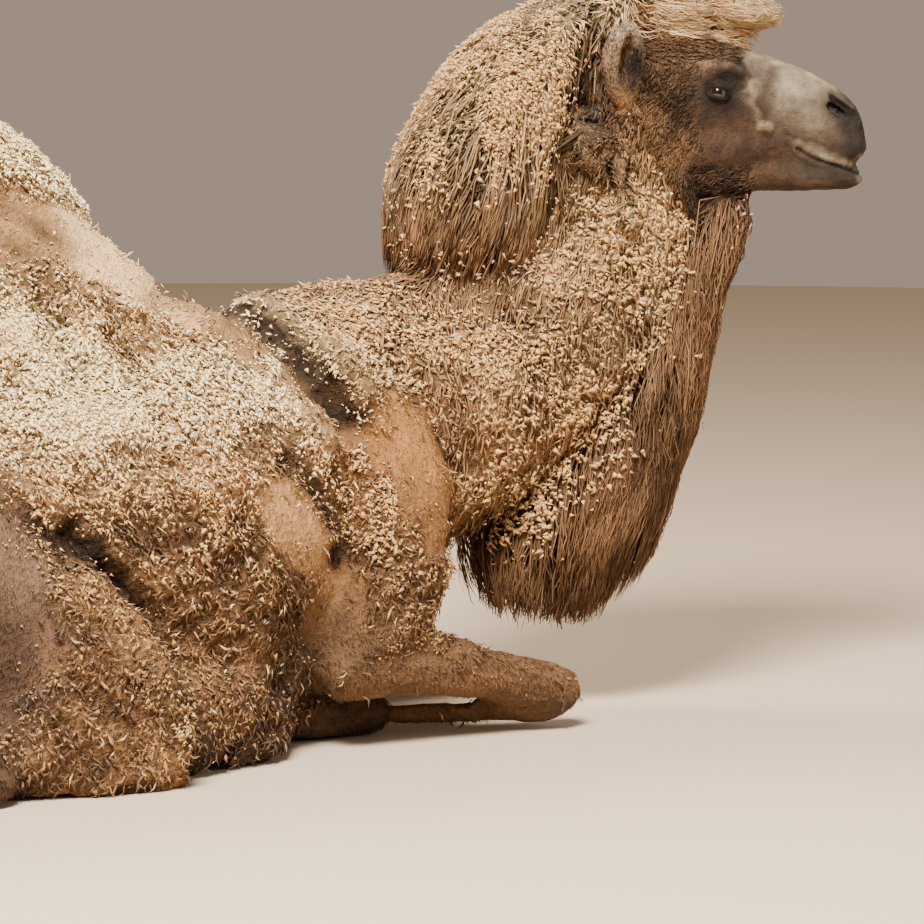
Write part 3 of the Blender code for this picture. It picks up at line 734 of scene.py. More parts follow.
def fine_head():
    """The head's outer surface and its skin, at a grain fine enough for lids and nostrils."""
    parts = [cad_arrays(["head", "eye_right", "eye_left"] + EARS), neck_stub()]
    outer = one_skin(gathered(parts), HEAD_GRAIN, 3)
    eyes = list(EYE.values())
    beside = [from_head(NOSTRIL[0], 0.04 * sign, NOSTRIL[1]) for sign in SIDES.values()]
    nostrils = nearest(CAD_TREE, np.array(beside))[0]
    verts, tris = outer
    for centres, reach in ((eyes, 0.045), (eyes, 0.032), (nostrils, 0.046), (nostrils, 0.038)):
        verts, tris = finer_near(verts, tris, centres, reach)
    local = in_head(verts)
    depth = 0.0025 + 0.004 * step(0.05, -0.10, local[:, 0]) + 0.0035 * step(0.06, 0.10, local[:, 2])
    depth += 0.040 * step(0.01, -0.09, seam_distance(local)) ** 1.3
    depth = smoothed(np.where(is_in(owners(verts), "ear"), DEPTHS["ear"], depth), tris, 6)
    return outer, (verts - normals_of(verts, tris) * depth[:, None], tris)


def ring(distance, middle_line, half):
    """1 at this distance, falling off over about half to either side."""
    return np.exp(-(((distance - middle_line) / half) ** 2))


def sculpted_face(verts, tris):
    """The skin with mouth, cleft lip, wrinkles, nostrils, cheek knobs and lids."""
    verts = verts.copy()
    local = in_head(verts)
    normals = normals_of(verts, tris)
    ahead, out, up = local.T
    # the mouth is a groove between two full lips
    gap = mouth_distance(local)
    shift = -0.0055 * ring(gap, 0, 0.0026) + 0.0016 * ring(gap, 0.009, 0.005)
    cleft = ring(out, 0, 0.0030) * step(0.235, 0.262, ahead) * step(-0.150, -0.125, up)
    shift -= 0.005 * (cleft * step(-0.03, -0.06, up))
    # wrinkles across the nose and fine slackness of the muzzle
    wrinkles = (ahead > 0.1) * 0.0030 * (noise(verts, 0.014, 20) - 0.5)
    shift += wrinkles + 0.0030 * (noise(verts, 0.035, 21) - 0.5)
    shift += beside_middle(local) * 0.0022 * ring(nostril_reach(local, 1.35), 1, 0.28)
    verts += normals * (shift * step(0.02, 0.08, ahead))[:, None]
    cave = beside_middle(local) * step(1.20, 0.20, nostril_reach(local))
    verts -= NOSTRIL_DEPTH * (cave * np.sign(out))[:, None] * OUT
    for side, sign in SIDES.items():
        knob = from_head(KNOB[0], KNOB[1] * sign, KNOB[2])
        verts += normals * (0.006 * ring(np.linalg.norm(verts - knob, axis=1), 0, 0.014))[:, None]
        verts = with_lids(verts, side, sign)
    return verts


def eye_axes(sign):
    """The way an eye looks, the way to its nose corner, and up across it."""
    look = unit(AHEAD * 0.30 + OUT * sign + UP * 0.02)
    nose = unit(AHEAD - look * dot(AHEAD, look))
    nose = unit(nose - UP * 0.16)
    upward = np.cross(look, nose) * sign
    return look, nose, upward if upward[2] > 0 else -upward


def lid_distance(x, y):
    """Distance past the edge of the eye's almond opening; less than nothing inside it."""
    half = np.where(x > 0, EYE_AHEAD, EYE_BACK)
    height = np.where(y > 0, EYE_ABOVE, EYE_BELOW)
    return (np.sqrt(np.abs(x / half) ** EYE_POINT + np.abs(y / height) ** 2.0) - 1) * 0.0085


def with_lids(verts, side, sign):
    """The skin drawn over the eyeball as two lids, with a crease and a brow's fold round them."""
    look, nose, upward = eye_axes(sign)
    away = verts - EYE[side]
    x, y, z = away @ nose, away @ upward, away @ look
    reach = np.linalg.norm(away, axis=1)
    beyond = lid_distance(x, y)
    radius = EYE_RADIUS + 0.0021 - 0.0046 * step(0.0006, -0.0012, beyond)
    radius += 0.0018 * ring(beyond, 0.0030, 0.0022) - 0.0016 * ring(beyond, 0.0085, 0.0020)
    radius += 0.0022 * step(0, 0.008, y) * ring(beyond, 0.0140, 0.0050)
    held = step(0.024, 0.010, beyond) * step(-0.004, 0.004, z) * (reach < 0.06)
    target = EYE[side] + unit(away) * radius[:, None]
    return verts + (target - verts) * held[:, None]


def joined(body, head):
    """The fine head let into the body's skin as one closed mesh, with the join smoothed and all relief on."""
    obj = object_from("skin", *body)
    other = object_from("head_work", *head)
    modify(obj, "BOOLEAN", operation="UNION", solver="MANIFOLD", object=other)
    verts, tris = baked(obj)
    discard(other)
    local = in_head(verts)
    seam = seam_distance(local)
    near_seam = step(-0.11, -0.07, seam) * step(0.03, -0.01, seam)
    near_seam = near_seam * (local[:, 0] > -0.32) * step(-0.30, -0.24, local[:, 2])
    verts = smoothed(verts, tris, 6, near_seam * 0.6)
    verts += normals_of(verts, tris) * relief(verts, owners(verts))[:, None]
    verts = sculpted_face(verts, tris)
    past = np.maximum(np.abs(verts[:, 1]) - (CAD_BOX[1].y - WIDEST_MARGIN), 0)
    verts[:, 1] -= np.sign(verts[:, 1]) * past * 0.75
    verts[:, 2] = np.maximum(verts[:, 2], SKIN_FLOOR)
    local = in_head(verts)
    face = (seam_distance(local) > 0.10) & (local[:, 0] > -0.02) & (local[:, 2] > -0.2)
    return thinned(verts, tris, ~face)


def thinned(verts, tris, where):
    """The same skin with MOST_SKIN triangles at most; only vertices marked in where may go."""
    obj = object_from("thin_work", verts, tris)
    group = obj.vertex_groups.new(name="may_go")
    group.add(np.flatnonzero(where).tolist(), 1.0, "REPLACE")
    modify(obj, "DECIMATE", ratio=min(1.0, MOST_SKIN / len(tris)), vertex_group="may_go")
    return baked(obj)


# --- materials
def nodes_of(name, roughness):
    made = bpy.data.materials.new(name)
    made.use_nodes = True
    shader = made.node_tree.nodes["Principled BSDF"]
    shader.inputs["Roughness"].default_value = roughness
    return made, made.node_tree, shader


def feed(tree, made, inputs):
    """Gives each named socket of a node its number, or the socket that it is linked from."""
    for socket, value in inputs.items():
        if isinstance(value, bpy.types.NodeSocket):
            tree.links.new(value, made.inputs[socket])
        else:
            made.inputs[socket].default_value = value


def node(tree, kind, output, inputs, **settings):
    """The named output of a new shader node."""
    made = tree.nodes.new(f"ShaderNode{kind}")
    for name, value in settings.items():
        setattr(made, name, value)
    feed(tree, made, inputs)
    return made.outputs[output]


def own_colour(tree, output="Color"):
    return node(tree, "Attribute", output, {}, attribute_name="coat_colour")


def scaled(tree, colour, factor):
    return node(tree, "VectorMath", "Vector", {0: colour, "Scale": factor}, operation="SCALE")


# Of each kind: roughness, sheen, the grain's scale, strength and depth, and whether it is felted.
LOOKS = {
    "skin": (0.88, 0.0, 260, 0.5, 0.002, True),
    "wool": (0.88, 0.08, 420, 0.3, 0.001, False),
    "hair": (0.68, 0.0, 300, 0.2, 0.001, False),
}


def coat_material(name, roughness, sheen, grain, strength, distance, felt):
    """Fur or skin: its colour is the mesh's own, varied by a fine noise that also roughens it. With felt, a
    coarser noise does the same where the colour's alpha says that wool lies."""
    made, tree, shader = nodes_of(name, roughness)
    place = node(tree, "TexCoord", "Object", {})
    grains = node(tree, "TexNoise", "Fac", {"Scale": grain, "Detail": 4, "Vector": place})
    vary = node(tree, "MapRange", "Result", {"To Min": 0.72, "To Max": 1.28, "Value": grains})
    colour = scaled(tree, own_colour(tree), vary)
    normal = node(tree, "Bump", "Normal", {"Strength": strength, "Distance": distance, "Height": grains})
    if felt:
        felted = own_colour(tree, "Alpha")
        crumbs = node(tree, "TexNoise", "Fac", {"Scale": 95, "Detail": 3, "Roughness": 0.65, "Vector": place})
        sharp = node(tree, "MapRange", "Result", {"From Min": 0.38, "From Max": 0.62, "Value": crumbs})
        height = node(tree, "Math", "Value", {0: sharp, 1: felted}, operation="MULTIPLY")
        lumps = {"Strength": 1.0, "Distance": 0.006, "Height": height, "Normal": normal}
        normal = node(tree, "Bump", "Normal", lumps)
        lighter = node(tree, "MapRange", "Result", {"To Min": 0.45, "To Max": 1.45, "Value": sharp})
        amount = node(tree, "Mix", "Result", {"A": 1.0, "Factor": felted, "B": lighter}, data_type="FLOAT")
        colour = scaled(tree, colour, amount)
    feed(tree, shader, {
        "Base Color": colour, "Normal": normal, "Specular IOR Level": 0.16, "Sheen Weight": sheen,
        "Sheen Roughness": 0.5,
    })
    return made


def eye_material():
    made, tree, shader = nodes_of("eye_glass", 0.12)
    feed(tree, shader, {"Base Color": own_colour(tree), "Coat Weight": 0.6, "Coat Roughness": 0.05})
    return made


def floor_material():
    made, tree, shader = nodes_of("studio_floor", 0.9)
    feed(tree, shader, {"Base Color": FLOOR_COLOUR})
    return made


def paint(obj, colours, material, alpha=1.0):
    layer = obj.data.color_attributes.new("coat_colour", "FLOAT_COLOR", "POINT")
    rgba = np.ones((len(colours), 4), np.float32)
    rgba[:, :3] = np.clip(colours, 0, 1)
    rgba[:, 3] = alpha
    layer.data.foreach_set("color", rgba.ravel())
    obj.data.materials.append(material)


# --- the coat
TUFTS = {"wool": 39000, "flecks": 72000, "strands": 5600, "face": 12500, "short": 47000}  # how many of each
PATCH = 0.003  # how wide each tuft's place on the unwrap is
UNWRAPPED_SHARE = 0.075  # of the skin's triangles, in the plainer copy that is unwrapped


def rings_round(centre, across, over, wide, fatness):
    """The three corners of a tuft's section."""
    wide = wide[:, None]
    return [centre - across * wide, centre + across * wide, centre + over * wide * fatness]


def tufts(roots, ways, normals, length, half_width, pitch, bend, turn, curl, steps, fatness=0.55):
    """Closed three-sided tapered tufts. Each starts at its root at the angle pitch to the skin and bends by
    bend on the way to its tip; turn and curl do the same to the side. Angles are in radians, one of each per
    tuft. Returns points of shape (tufts, 3 * steps + 1, 3) and the triangles of one tuft."""
    side = unit(np.cross(normals, ways))
    place = roots.copy()
    rings = []
    shares = np.arange(steps + 1) / steps
    taper = np.interp(shares, (0, 0.35, 0.75, 1), (0.75, 1.0, 0.62, 0.0))
    for k in range(steps):
        rise = pitch + bend * shares[k]
        yaw = turn + curl * shares[k]
        flat = ways * np.cos(yaw)[:, None] + side * np.sin(yaw)[:, None]
        heading = flat * np.cos(rise)[:, None] + normals * np.sin(rise)[:, None]
        across = unit(np.cross(normals, flat))
        over = unit(np.cross(heading, across))
        rings += rings_round(place, across, over, half_width * taper[k], fatness)
        place = place + heading * (length / steps)[:, None]
    rings.append(place)
    return np.stack(rings, 1), tuft_triangles(steps)


def tuft_triangles(steps):
    tris = [(0, 2, 1)]
    for k in range(steps - 1):
        for i in range(3):
            a, b = 3 * k + i, 3 * k + (i + 1) % 3
            tris += [(a, b, b + 3), (a, b + 3, a + 3)]
    tip = 3 * steps
    for i in range(3):
        a = 3 * (steps - 1)
        tris.append((a + i, a + (i + 1) % 3, tip))
    return np.array(tris)


def blended(values, corners, shares):
    """Values at the corners of triangles, mixed by the corners' shares."""
    return (values[corners] * shares.reshape(shares.shape + (1,) * (values.ndim - 1))).sum(1)


class Roots:
    """Places on the skin, with all that a tuft needs to know of each."""

    def __init__(self, skin, faces, shares, guide):
        corners = skin["tris"][faces]
        self.place, normal, self.colour, self.room, self.outer, self.sleek = (
            blended(skin[name], corners, shares)
            for name in ("verts", "normals", "colour", "room", "outer", "sleek")
        )
        self.normal = unit(normal)
        self.owner = skin["owner"][corners[:, 0]]
        self.way = along_skin(free_lie(self.place, self.normal, self.owner), self.normal)
        self.patch = guide(self.place)

    def __len__(self):
        return len(self.place)

    def on(self, *kinds):
        """Which roots are on nodes whose names start with one of kinds."""
        return is_in(self.owner, *kinds)

    def sunk(self, depth):
        return self.place - self.normal * depth


def pick_roots(skin, weight, count, guide):
    """count random places on the skin; weight says how likely each triangle is per area."""
    verts, tris = skin["verts"], skin["tris"]
    a, b, c = (verts[tris[:, i]] for i in range(3))
    area = np.linalg.norm(np.cross(b - a, c - a), axis=1) / 2
    chance = np.cumsum(area * weight[tris].mean(1))
    faces = np.searchsorted(chance, RNG.random(count) * chance[-1])
    faces = np.minimum(faces, len(tris) - 1)
    first, second = RNG.random(count), RNG.random(count)
    over = first + second > 1
    first[over], second[over] = 1 - first[over], 1 - second[over]
    return Roots(skin, faces, np.stack([1 - first - second, first, second], 1), guide)


def uv_guide(skin):
    """A function from places to their place on an unwrap of a plainer copy of the skin."""
    obj = object_from("guide_work", skin["verts"], skin["tris"])
    modify(obj, "DECIMATE", ratio=UNWRAPPED_SHARE)
    verts, tris = baked(obj)
    obj = object_from("guide_work", verts, tris)
    bpy.context.view_layer.objects.active = obj
    obj.select_set(True)
    bpy.ops.object.mode_set(mode="EDIT")
    bpy.ops.mesh.select_all(action="SELECT")
    bpy.ops.uv.smart_project(angle_limit=radians(60), island_margin=0.004)
    bpy.ops.object.mode_set(mode="OBJECT")
    uv = np.empty(len(obj.data.loops) * 2, np.float32)
    obj.data.uv_layers.active.data.foreach_get("uv", uv)
    uv = uv.reshape(-1, 3, 2)
    discard(obj)
    tree = tree_of(verts, tris)

    def place_on_unwrap(points):
        places, _, faces = nearest(tree, points)
        a, b, c = (verts[tris[faces, i]] for i in range(3))
        normal = np.cross(b - a, c - a)
        square = np.maximum(dot(normal, normal), 1e-18)
        first = np.clip(dot(np.cross(c - b, places - b), normal) / square, 0, 1)
        second = np.clip(dot(np.cross(a - c, places - c), normal) / square, 0, 1)
        shares = np.stack([first, second, np.clip(1 - first - second, 0, 1)], 1)
        return (uv[faces] * shares[:, :, None]).sum(1)

    return place_on_unwrap


def coat_pieces(name, tufted, base, shading, unwrapped, pieces, material, stands_for=()):
    """Joins tufts into pieces small enough to export, along the body from rear to front. Their base colours
    are multiplied by the first of shading at the root and by the second at the tip."""
    points, pattern = tufted
    order = np.argsort(points[:, 0, 0], kind="stable")
    per = points.shape[1]
    steps = per // 3
    along = np.minimum(np.arange(per) // 3, steps) / steps
    colours = base[:, None, :] * (shading[0] + (shading[1] - shading[0]) * along)[None, :, None]
    turn = np.arange(per) * 2.1
    spiral = np.stack([np.cos(turn), np.sin(turn)], 1) * (0.2 + 0.8 * np.linspace(0, 1, per))[:, None]
    for number, chosen in enumerate(np.array_split(order, pieces)):
        verts = points[chosen].reshape(-1, 3)
        verts[:, 2] = np.maximum(verts[:, 2], COAT_FLOOR)
        tris = (np.arange(len(chosen))[:, None, None] * per + pattern).reshape(-1, 3)
        obj = object_from(name if pieces == 1 else f"{name}_{number + 1}", verts, tris)
        paint(obj, colours[chosen].reshape(-1, 3), material)
        uv = unwrapped[chosen][:, None, :] + spiral * PATCH / 2
        layer = obj.data.uv_layers.new(name="OFBake")
        layer.data.foreach_set("uv", uv.reshape(-1, 2)[tris.ravel()].astype(np.float32).ravel())
        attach(obj, "root")
    if stands_for:
        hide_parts(*stands_for)


def spread(count, low, high):
    return RNG.uniform(low, high, count)


# Which way the hair hangs or sweeps, on the trunk and on the other nodes.
TRUNK_HANG = (-0.55, 0.0, -0.85)
HANG = {
    "neck": (-0.15, 0.0, -1.0), "foreleg": (0.35, 0.0, -0.9), "hindleg": (-0.30, 0.0, -0.95),
    "forefoot": (0.2, 0.0, -0.9), "hindfoot": (0.2, 0.0, -0.9), "mane": -AHEAD * 0.22 - UP,
    "beard": -AHEAD * 0.10 - UP, "crown": AHEAD - UP * 0.22, "tail": (-0.1, 0.0, -1.0),
}


def free_lie(points, normals, owner):
    """The way the hair would hang or sweep if no skin were in its way."""
    way = np.tile(TRUNK_HANG, (len(points), 1))
    for kind, hang in HANG.items():
        way[is_in(owner, kind)] = hang
    local = in_head(points)
    head = is_in(owner, "head") & (seam_distance(local) > -0.05)
    down = step(0.02, -0.14, local[:, 0])[:, None]
    face = -AHEAD * (1 - 0.6 * down) - UP * (0.35 + 0.65 * down)
    forward = (step(0.045, 0.075, local[:, 2]) * step(0.07, 0.03, local[:, 0]))[:, None]
    face = face * (1 - forward) + (AHEAD - UP * 0.15) * forward
    way[head] = face[head]
    way[is_in(owner, "ear")] = UP + AHEAD * 0.1
    swirl = 0.5 * (noise(points, 0.12, 30) - 0.5)
    return unit(way + np.cross(normals, way) * swirl[:, None])


def wool(skin, guide, material):
    """Matted locks over all that is woolly."""
    verts, owner = skin["verts"], skin["owner"]
    up = verts[:, 2]
    facing = step(-0.95, -0.3, skin["normals"][:, 2])
    weight = (1 - 0.95 * skin["sleek"]) * (0.15 + 0.85 * facing) * step(0.0, 0.02, up)
    weight *= np.where(is_in(owner, "mane"), 0.35 + 1.9 * step(0.98, 1.10, up), 1 + 0.3 * below_ears(verts))
    throat = np.maximum(behind_edge(verts), step(0.90, 0.96, up))
    weight *= np.where(is_in(owner, "beard"), 0.08 + 0.80 * throat, 1)
    weight *= np.where(is_in(owner, "tail", "head", "ear", "forefoot", "hindfoot"), 0, 1)
    weight *= np.where(is_in(owner, "crown"), 0.7, 1)
    weight *= step(0.070, 0.045, skin["room"]) * (1 - 0.8 * fold_effects(verts, owner)[1])
    roots = pick_roots(skin, weight, TUFTS["wool"], guide)
    count = len(roots)
    hairy = roots.on("mane", "beard")
    length = short_of_folds(roots, spread(count, 0.018, 0.036) * (1 + 0.6 * hairy))
    room = np.clip(roots.room, 0.006, 0.03)
    pitch = np.arcsin(np.clip(room / length * 1.05, 0.05, 0.85)) + spread(count, -0.15, 0.35)
    twist = np.where(hairy, 0.5, 1.0 - 0.7 * below_ears(roots.place))
    tufted = tufts(
        roots.sunk(0.002), roots.way, roots.normal, length, spread(count, 0.0018, 0.0036), pitch,
        -pitch * spread(count, 0.6, 2.2), spread(count, -1.3, 1.3) * twist,
        spread(count, -2.8, 2.8) * twist, 2,
    )
    lump = np.where(hairy, hanks(roots.place), clumping(roots.place))
    # Darker between hanks as painted shade, and between lumps partly as painted shade and partly for the
    # browner wool beneath.
    base = roots.colour * ((0.66 + 0.50 * lump) * spread(count, 0.78, 1.25))[:, None]
    height = step(0.35, 0.75, roots.place[:, 2]) * (1 - shade_behind_ears(roots.place))
    height = height * (1 - 0.8 * thin_wool(roots.place)) * (1 - below_ears(roots.place))
    height = height * (1 - fold_effects(roots.place, roots.owner)[1])
    pale = RNG.random(count) < 0.06 + (0.25 + 0.50 * lump) * height * np.where(hairy, 0.6, 1)
    yellow = np.where(roots.on("trunk", "hump"), 0.2 + 0.6 * on_shoulders(roots.place), 1)
    light = mix(COLOUR["cream"], COLOUR["flake"], yellow)
    base[pale] = mix(base[pale], light[pale], spread(pale.sum(), 0.4, 0.9))
    coat_pieces("coat_wool", tufted, base, (0.72, 1.10), roots.patch, 3, material)


# The throat's front edge, as (up, along): its outermost hair is long and clean.
THROAT_EDGE = [(0.24, 0.89), (0.42, 0.925), (0.57, 0.95), (0.74, 1.01), (1.00, 1.06)]


def behind_edge(points):
    """0 at the throat's front edge and 1 where its hair is felted and flecked, behind it."""
    up, along = np.array(THROAT_EDGE).T
    edge = np.interp(points[:, 2], up, along)
    start = np.interp(points[:, 2], (0.42, 0.62), (0.050, 0.012))
    return step(0, 0.07, edge - start - points[:, 0] + 0.05 * (noise(points, 0.06, 44) - 0.5))


def fleck_share(points, owner, sleek):
    """How thickly the pale flecks lie."""
    up = points[:, 2]
    hairy, flank, neck = is_in(owner, "mane", "beard"), flank_only(owner), is_in(owner, "neck")
    body = (0.28 + 0.85 * step(0.25, 0.70, up)) * (1 - 0.94 * sleek) + 3.6 * sleek * (1 - sleek)
    made = np.where(neck, 0.75, np.where(flank, body, 0))
    made += is_in(owner, "mane") * (0.14 + 1.15 * step(0.97, 1.10, up))
    made += is_in(owner, "beard") * (0.03 + 0.87 * behind_edge(points))
    made *= 1 - 0.8 * clean(points) * is_in(owner, "neck", "beard")
    made += is_in(owner, "crown") * 0.5 * step(-0.16, -0.24, in_head(points)[:, 0])
    made *= (1 - 0.95 * shade_behind_ears(points)) * (1 - 0.93 * below_ears(points))
    made *= 1 - fold_effects(points, owner)[1]
    made *= 1 - 0.75 * thin_wool(points) * flank * step(1.1, 0.8, up)
    made *= np.where(is_in(owner, "trunk", "hindleg"), 0.45 + 0.55 * step(0.30, 0.60, up), 1)
    made += is_in(owner, "hindleg", "trunk") * 1.4 * on_thigh_rim(points)
    made *= np.where(is_in(owner, "trunk", "hump"), 0.55 + 0.45 * sheets(points), 1)
    made *= 1 - 0.95 * neck_marks(points, owner)[0][1]
    made += is_in(owner, "beard") * 0.7 * step(0.97, 1.03, up) * step(0.4, 0.6, noise(points, 0.03, 49))
    lump = np.where(hairy, hanks(points) * step(0.30, 0.6, noise(points, 0.05, 42)), clumping(points))
    full = np.where(flank, step(0.55, 0.80, up) * 0.35, 0)
    return made * (0.07 + full + (0.93 - full) * lump)


def flecks(skin, guide, material):
    """Pale curled flakes that the moult leaves on the wool."""
    facing = step(-0.6, 0.1, skin["normals"][:, 2])
    weight = fleck_share(skin["verts"], skin["owner"], skin["sleek"]) * (0.1 + 0.9 * facing)
    roots = pick_roots(skin, weight, TUFTS["flecks"], guide)
    count = len(roots)
    front = roots.on("mane", "neck", "beard", "crown")
    long_hair = roots.on("mane", "beard", "crown")
    share = np.where(long_hair, spread(count, 0.75, 1.0), spread(count, 0.45, 0.85) * (1 - roots.sleek))
    start = roots.place + (roots.outer - roots.place) * share[:, None] + roots.normal * 0.002
    pitch = spread(count, -0.4, 0.8)
    size = np.exp(0.34 * np.clip(RNG.normal(size=count), -1.6, 1.8)) * (1 - 0.3 * roots.sleek)
    size *= np.where(roots.on("neck", "beard"), 1.2, 1)
    tufted = tufts(
        start, roots.way, roots.normal, spread(count, 0.0065, 0.0105) * size,
        spread(count, 0.0028, 0.0046) * size, pitch, -pitch, spread(count, -2.0, 2.0), np.zeros(count), 1,
        0.75,
    )
    tone = RNG.random(count) ** 0.8
    height = step(0.46, 0.68, roots.place[:, 2]) * np.where(front, 0, 1) * (1 - 0.5 * thin_wool(roots.place))
    height = height * (1 - 0.6 * on_shoulders(roots.place))
    middling = np.maximum(np.where(front, 1, step(0.20, 0.50, roots.place[:, 2])), on_thigh_rim(roots.place))
    low = mix(COLOUR["golden_brown"], COLOUR["crumb"], 0.2 + 0.8 * tone)
    mid = mix(COLOUR["crumb"], COLOUR["flake"], 0.1 + 0.9 * tone)
    high = mix(COLOUR["cream"], COLOUR["straw"], 0.2 + 0.8 * tone)
    base = mix(mix(low, mid, middling), high, height)
    gold = RNG.random(count) < 0.08 + 0.22 * (1 - height)
    base[gold] = mix(base[gold], COLOUR["gold"], spread(gold.sum(), 0.3, 1.0))
    coat_pieces("coat_flecks", tufted, base, (0.84, 1.06), roots.patch, 2, material)


def bunched(centres, roots, size, pull):
    """Draws neighbouring locks together towards their tips, as hanks of hair."""
    shake = np.stack([noise(roots.place, size, 70 + i) - 0.5 for i in range(3)], 1)
    shaken = roots.place + 0.5 * size * shake
    cells = np.unique(np.floor(shaken / size).astype(int), axis=0, return_inverse=True)[1].ravel()
    number = np.bincount(cells)[:, None]
    for k in range(1, centres.shape[1]):
        total = np.stack([np.bincount(cells, centres[:, k, axis]) for axis in range(3)], 1)
        drawn = pull * (k / (centres.shape[1] - 1)) ** 1.3
        centres[:, k] += ((total / number)[cells] - centres[:, k]) * drawn
    return centres


def traced_locks(
    roots, length, steps, half_width, outer, stray, lift=0.45, sink=0.004, past=0.0, bunch=0.03, wave=0.006
):
    """Long locks that follow the outer surface of their mass and hang free past its end, by up to past."""
    count = len(roots)
    place, normal = roots.sunk(0.002), roots.normal
    jitter = unit(RNG.normal(size=(count, 3))) * stray
    allowed = spread(count, -0.3 * past, past)
    centres = [place]
    stride = length / steps
    for k in range(steps):
        free = free_lie(place, normal, roots.owner)
        ending = step(0.25, 0.75, dot(free, normal))
        way = unit(mix(along_skin(free + jitter, normal), unit(free + jitter * 0.5), ending))
        ahead = place + way * stride[:, None]
        found, normal, _ = nearest(outer, ahead)
        inside = dot(found - ahead, normal)
        wanted = sink + (roots.room * 0.5) * (1 - (k + 1) / steps) ** 1.5
        rise = np.clip(inside - wanted, -0.05, stride * lift)
        at_end = dot(free_lie(ahead, normal, roots.owner), normal) > 0.35
        rise = np.where(at_end, np.minimum(inside + allowed, 0), rise)
        place = ahead + normal * rise[:, None]
        place[:, 2] = np.maximum(place[:, 2], 0.002)
        centres.append(place)
    centres = bunched(np.stack(centres, 1), roots, bunch, 0.7)
    shares = np.arange(steps + 1) / steps
    taper = np.interp(shares, (0, 0.3, 0.7, 1), (0.8, 1.0, 0.75, 0.0))
    rings = []
    phase, sways, turns = spread(count, 0, 2 * pi), spread(count, 0.0, wave), spread(count, 1.5, 4.0)
    for k in range(steps):
        heading = unit(centres[:, k + 1] - centres[:, max(k - 1, 0)])
        across = unit(np.cross(roots.normal, heading))
        sway = (sways * np.sin(phase + turns * shares[k] * pi) * min(1, 2 * shares[k]))[:, None]
        centre = centres[:, k] + across * sway
        rings += rings_round(centre, across, np.cross(heading, across), half_width * taper[k], 0.6)
    rings.append(centres[:, -1])
    return np.stack(rings, 1), tuft_triangles(steps)


LOCK_SHADING = (0.62, 1.15)


def lock_colours(roots, light, dark):
    """The base colours of long locks, by hanks: their tone varies at random and is darker between the hanks
    and in the hollow behind the ears, as painted shade.
    """
    count = len(roots)
    tone = 0.55 * noise(roots.place * [1, 1, 0.4], 0.035, 50) + 0.45 * hanks(roots.place)
    base = mix(COLOUR[dark], COLOUR[light], np.clip(tone + spread(count, -0.35, 0.30), 0, 1))
    base = mix(base, roots.colour, np.full(count, 0.3))
    low_crown = roots.on("crown") * step(0.125, 0.085, in_head(roots.place)[:, 2])
    tone = spread(count, 0.70, 1.25) * (1 - 0.65 * shade_behind_ears(roots.place))
    return base * (tone * (1 - 0.45 * low_crown))[:, None]


LOCK_STEPS = 4
# Number, shortest and longest, half width, light and dark colour, stray, past the end, bunch, wave.
LOCKS = {
    "mane": (4800, 0.10, 0.22, 0.0026, "lock", "umber", 0.16, 0.040, 0.036, 0.010),
    "beard": (6400, 0.10, 0.25, 0.0018, "lock", "umber", 0.20, 0.055, 0.040, 0.014),
    "crown_tuft": (7400, 0.05, 0.14, 0.0010, "blond", "gold", 0.24, 0.055, 0.022, 0.014),
    "tail": (420, 0.08, 0.16, 0.0026, "brown", "dark", 0.20, 0.02, 0.030, 0.006),
}


def locks(skin, guide, outer, material):
    """The long hair of the mane, beard, crown and tail."""
    verts = skin["verts"]
    thinner = {
        "mane": 0.05 + 0.95 * step(1.16, 1.00, verts[:, 2]), "beard": 0.40 + 0.60 * (1 - behind_edge(verts)),
    }
    for name, (number, short, long, half, light, dark, stray, past, bunch, wave) in LOCKS.items():
        mine = (skin["owner"] == NUMBER[name]) * thinner.get(name, 1.0)
        roots = pick_roots(skin, mine, number, guide)
        length = spread(number, short, long)
        widths = spread(number, 0.6 * half, 1.3 * half)
        traced = traced_locks(
            roots, length, LOCK_STEPS, widths, outer, stray, sink=spread(number, 0.0, 0.5 * wave), past=past,
            bunch=bunch, wave=wave,
        )
        base = lock_colours(roots, light, dark)
        coat_pieces(f"coat_{name}", traced, base, LOCK_SHADING, roots.patch, 1, material, [name])


def strands(skin, guide, outer, material):
    """Hanging hair of the neck, between the wool and the long locks."""
    verts = skin["verts"]
    density = 0.45 + 0.55 * step(0.5, 0.75, verts[:, 2]) + 3.0 * below_ears(verts)
    roots = pick_roots(skin, is_in(skin["owner"], "neck") * density, TUFTS["strands"], guide)
    count = len(roots)
    length = short_of_folds(roots, spread(count, 0.035, 0.080))
    traced = traced_locks(roots, length, 3, spread(count, 0.0016, 0.0030), outer, 0.25, 0.5, 0.002)
    base = lock_colours(roots, "lock", "golden_brown")
    coat_pieces("coat_strands", traced, base, LOCK_SHADING, roots.patch, 1, material)


def shagginess(local):
    """Where the head's hair is long: 0 on the muzzle and nose, 1 on jaw, temple and poll."""
    ahead, up = local[:, 0], local[:, 2]
    back = step(-0.015, -0.075, ahead)
    brow = step(0.050, 0.072, up) * step(0.055, 0.020, ahead)
    jaw = step(-0.125, -0.150, up) * step(0.10, 0.05, ahead)
    return np.maximum(back, np.maximum(brow, jaw))


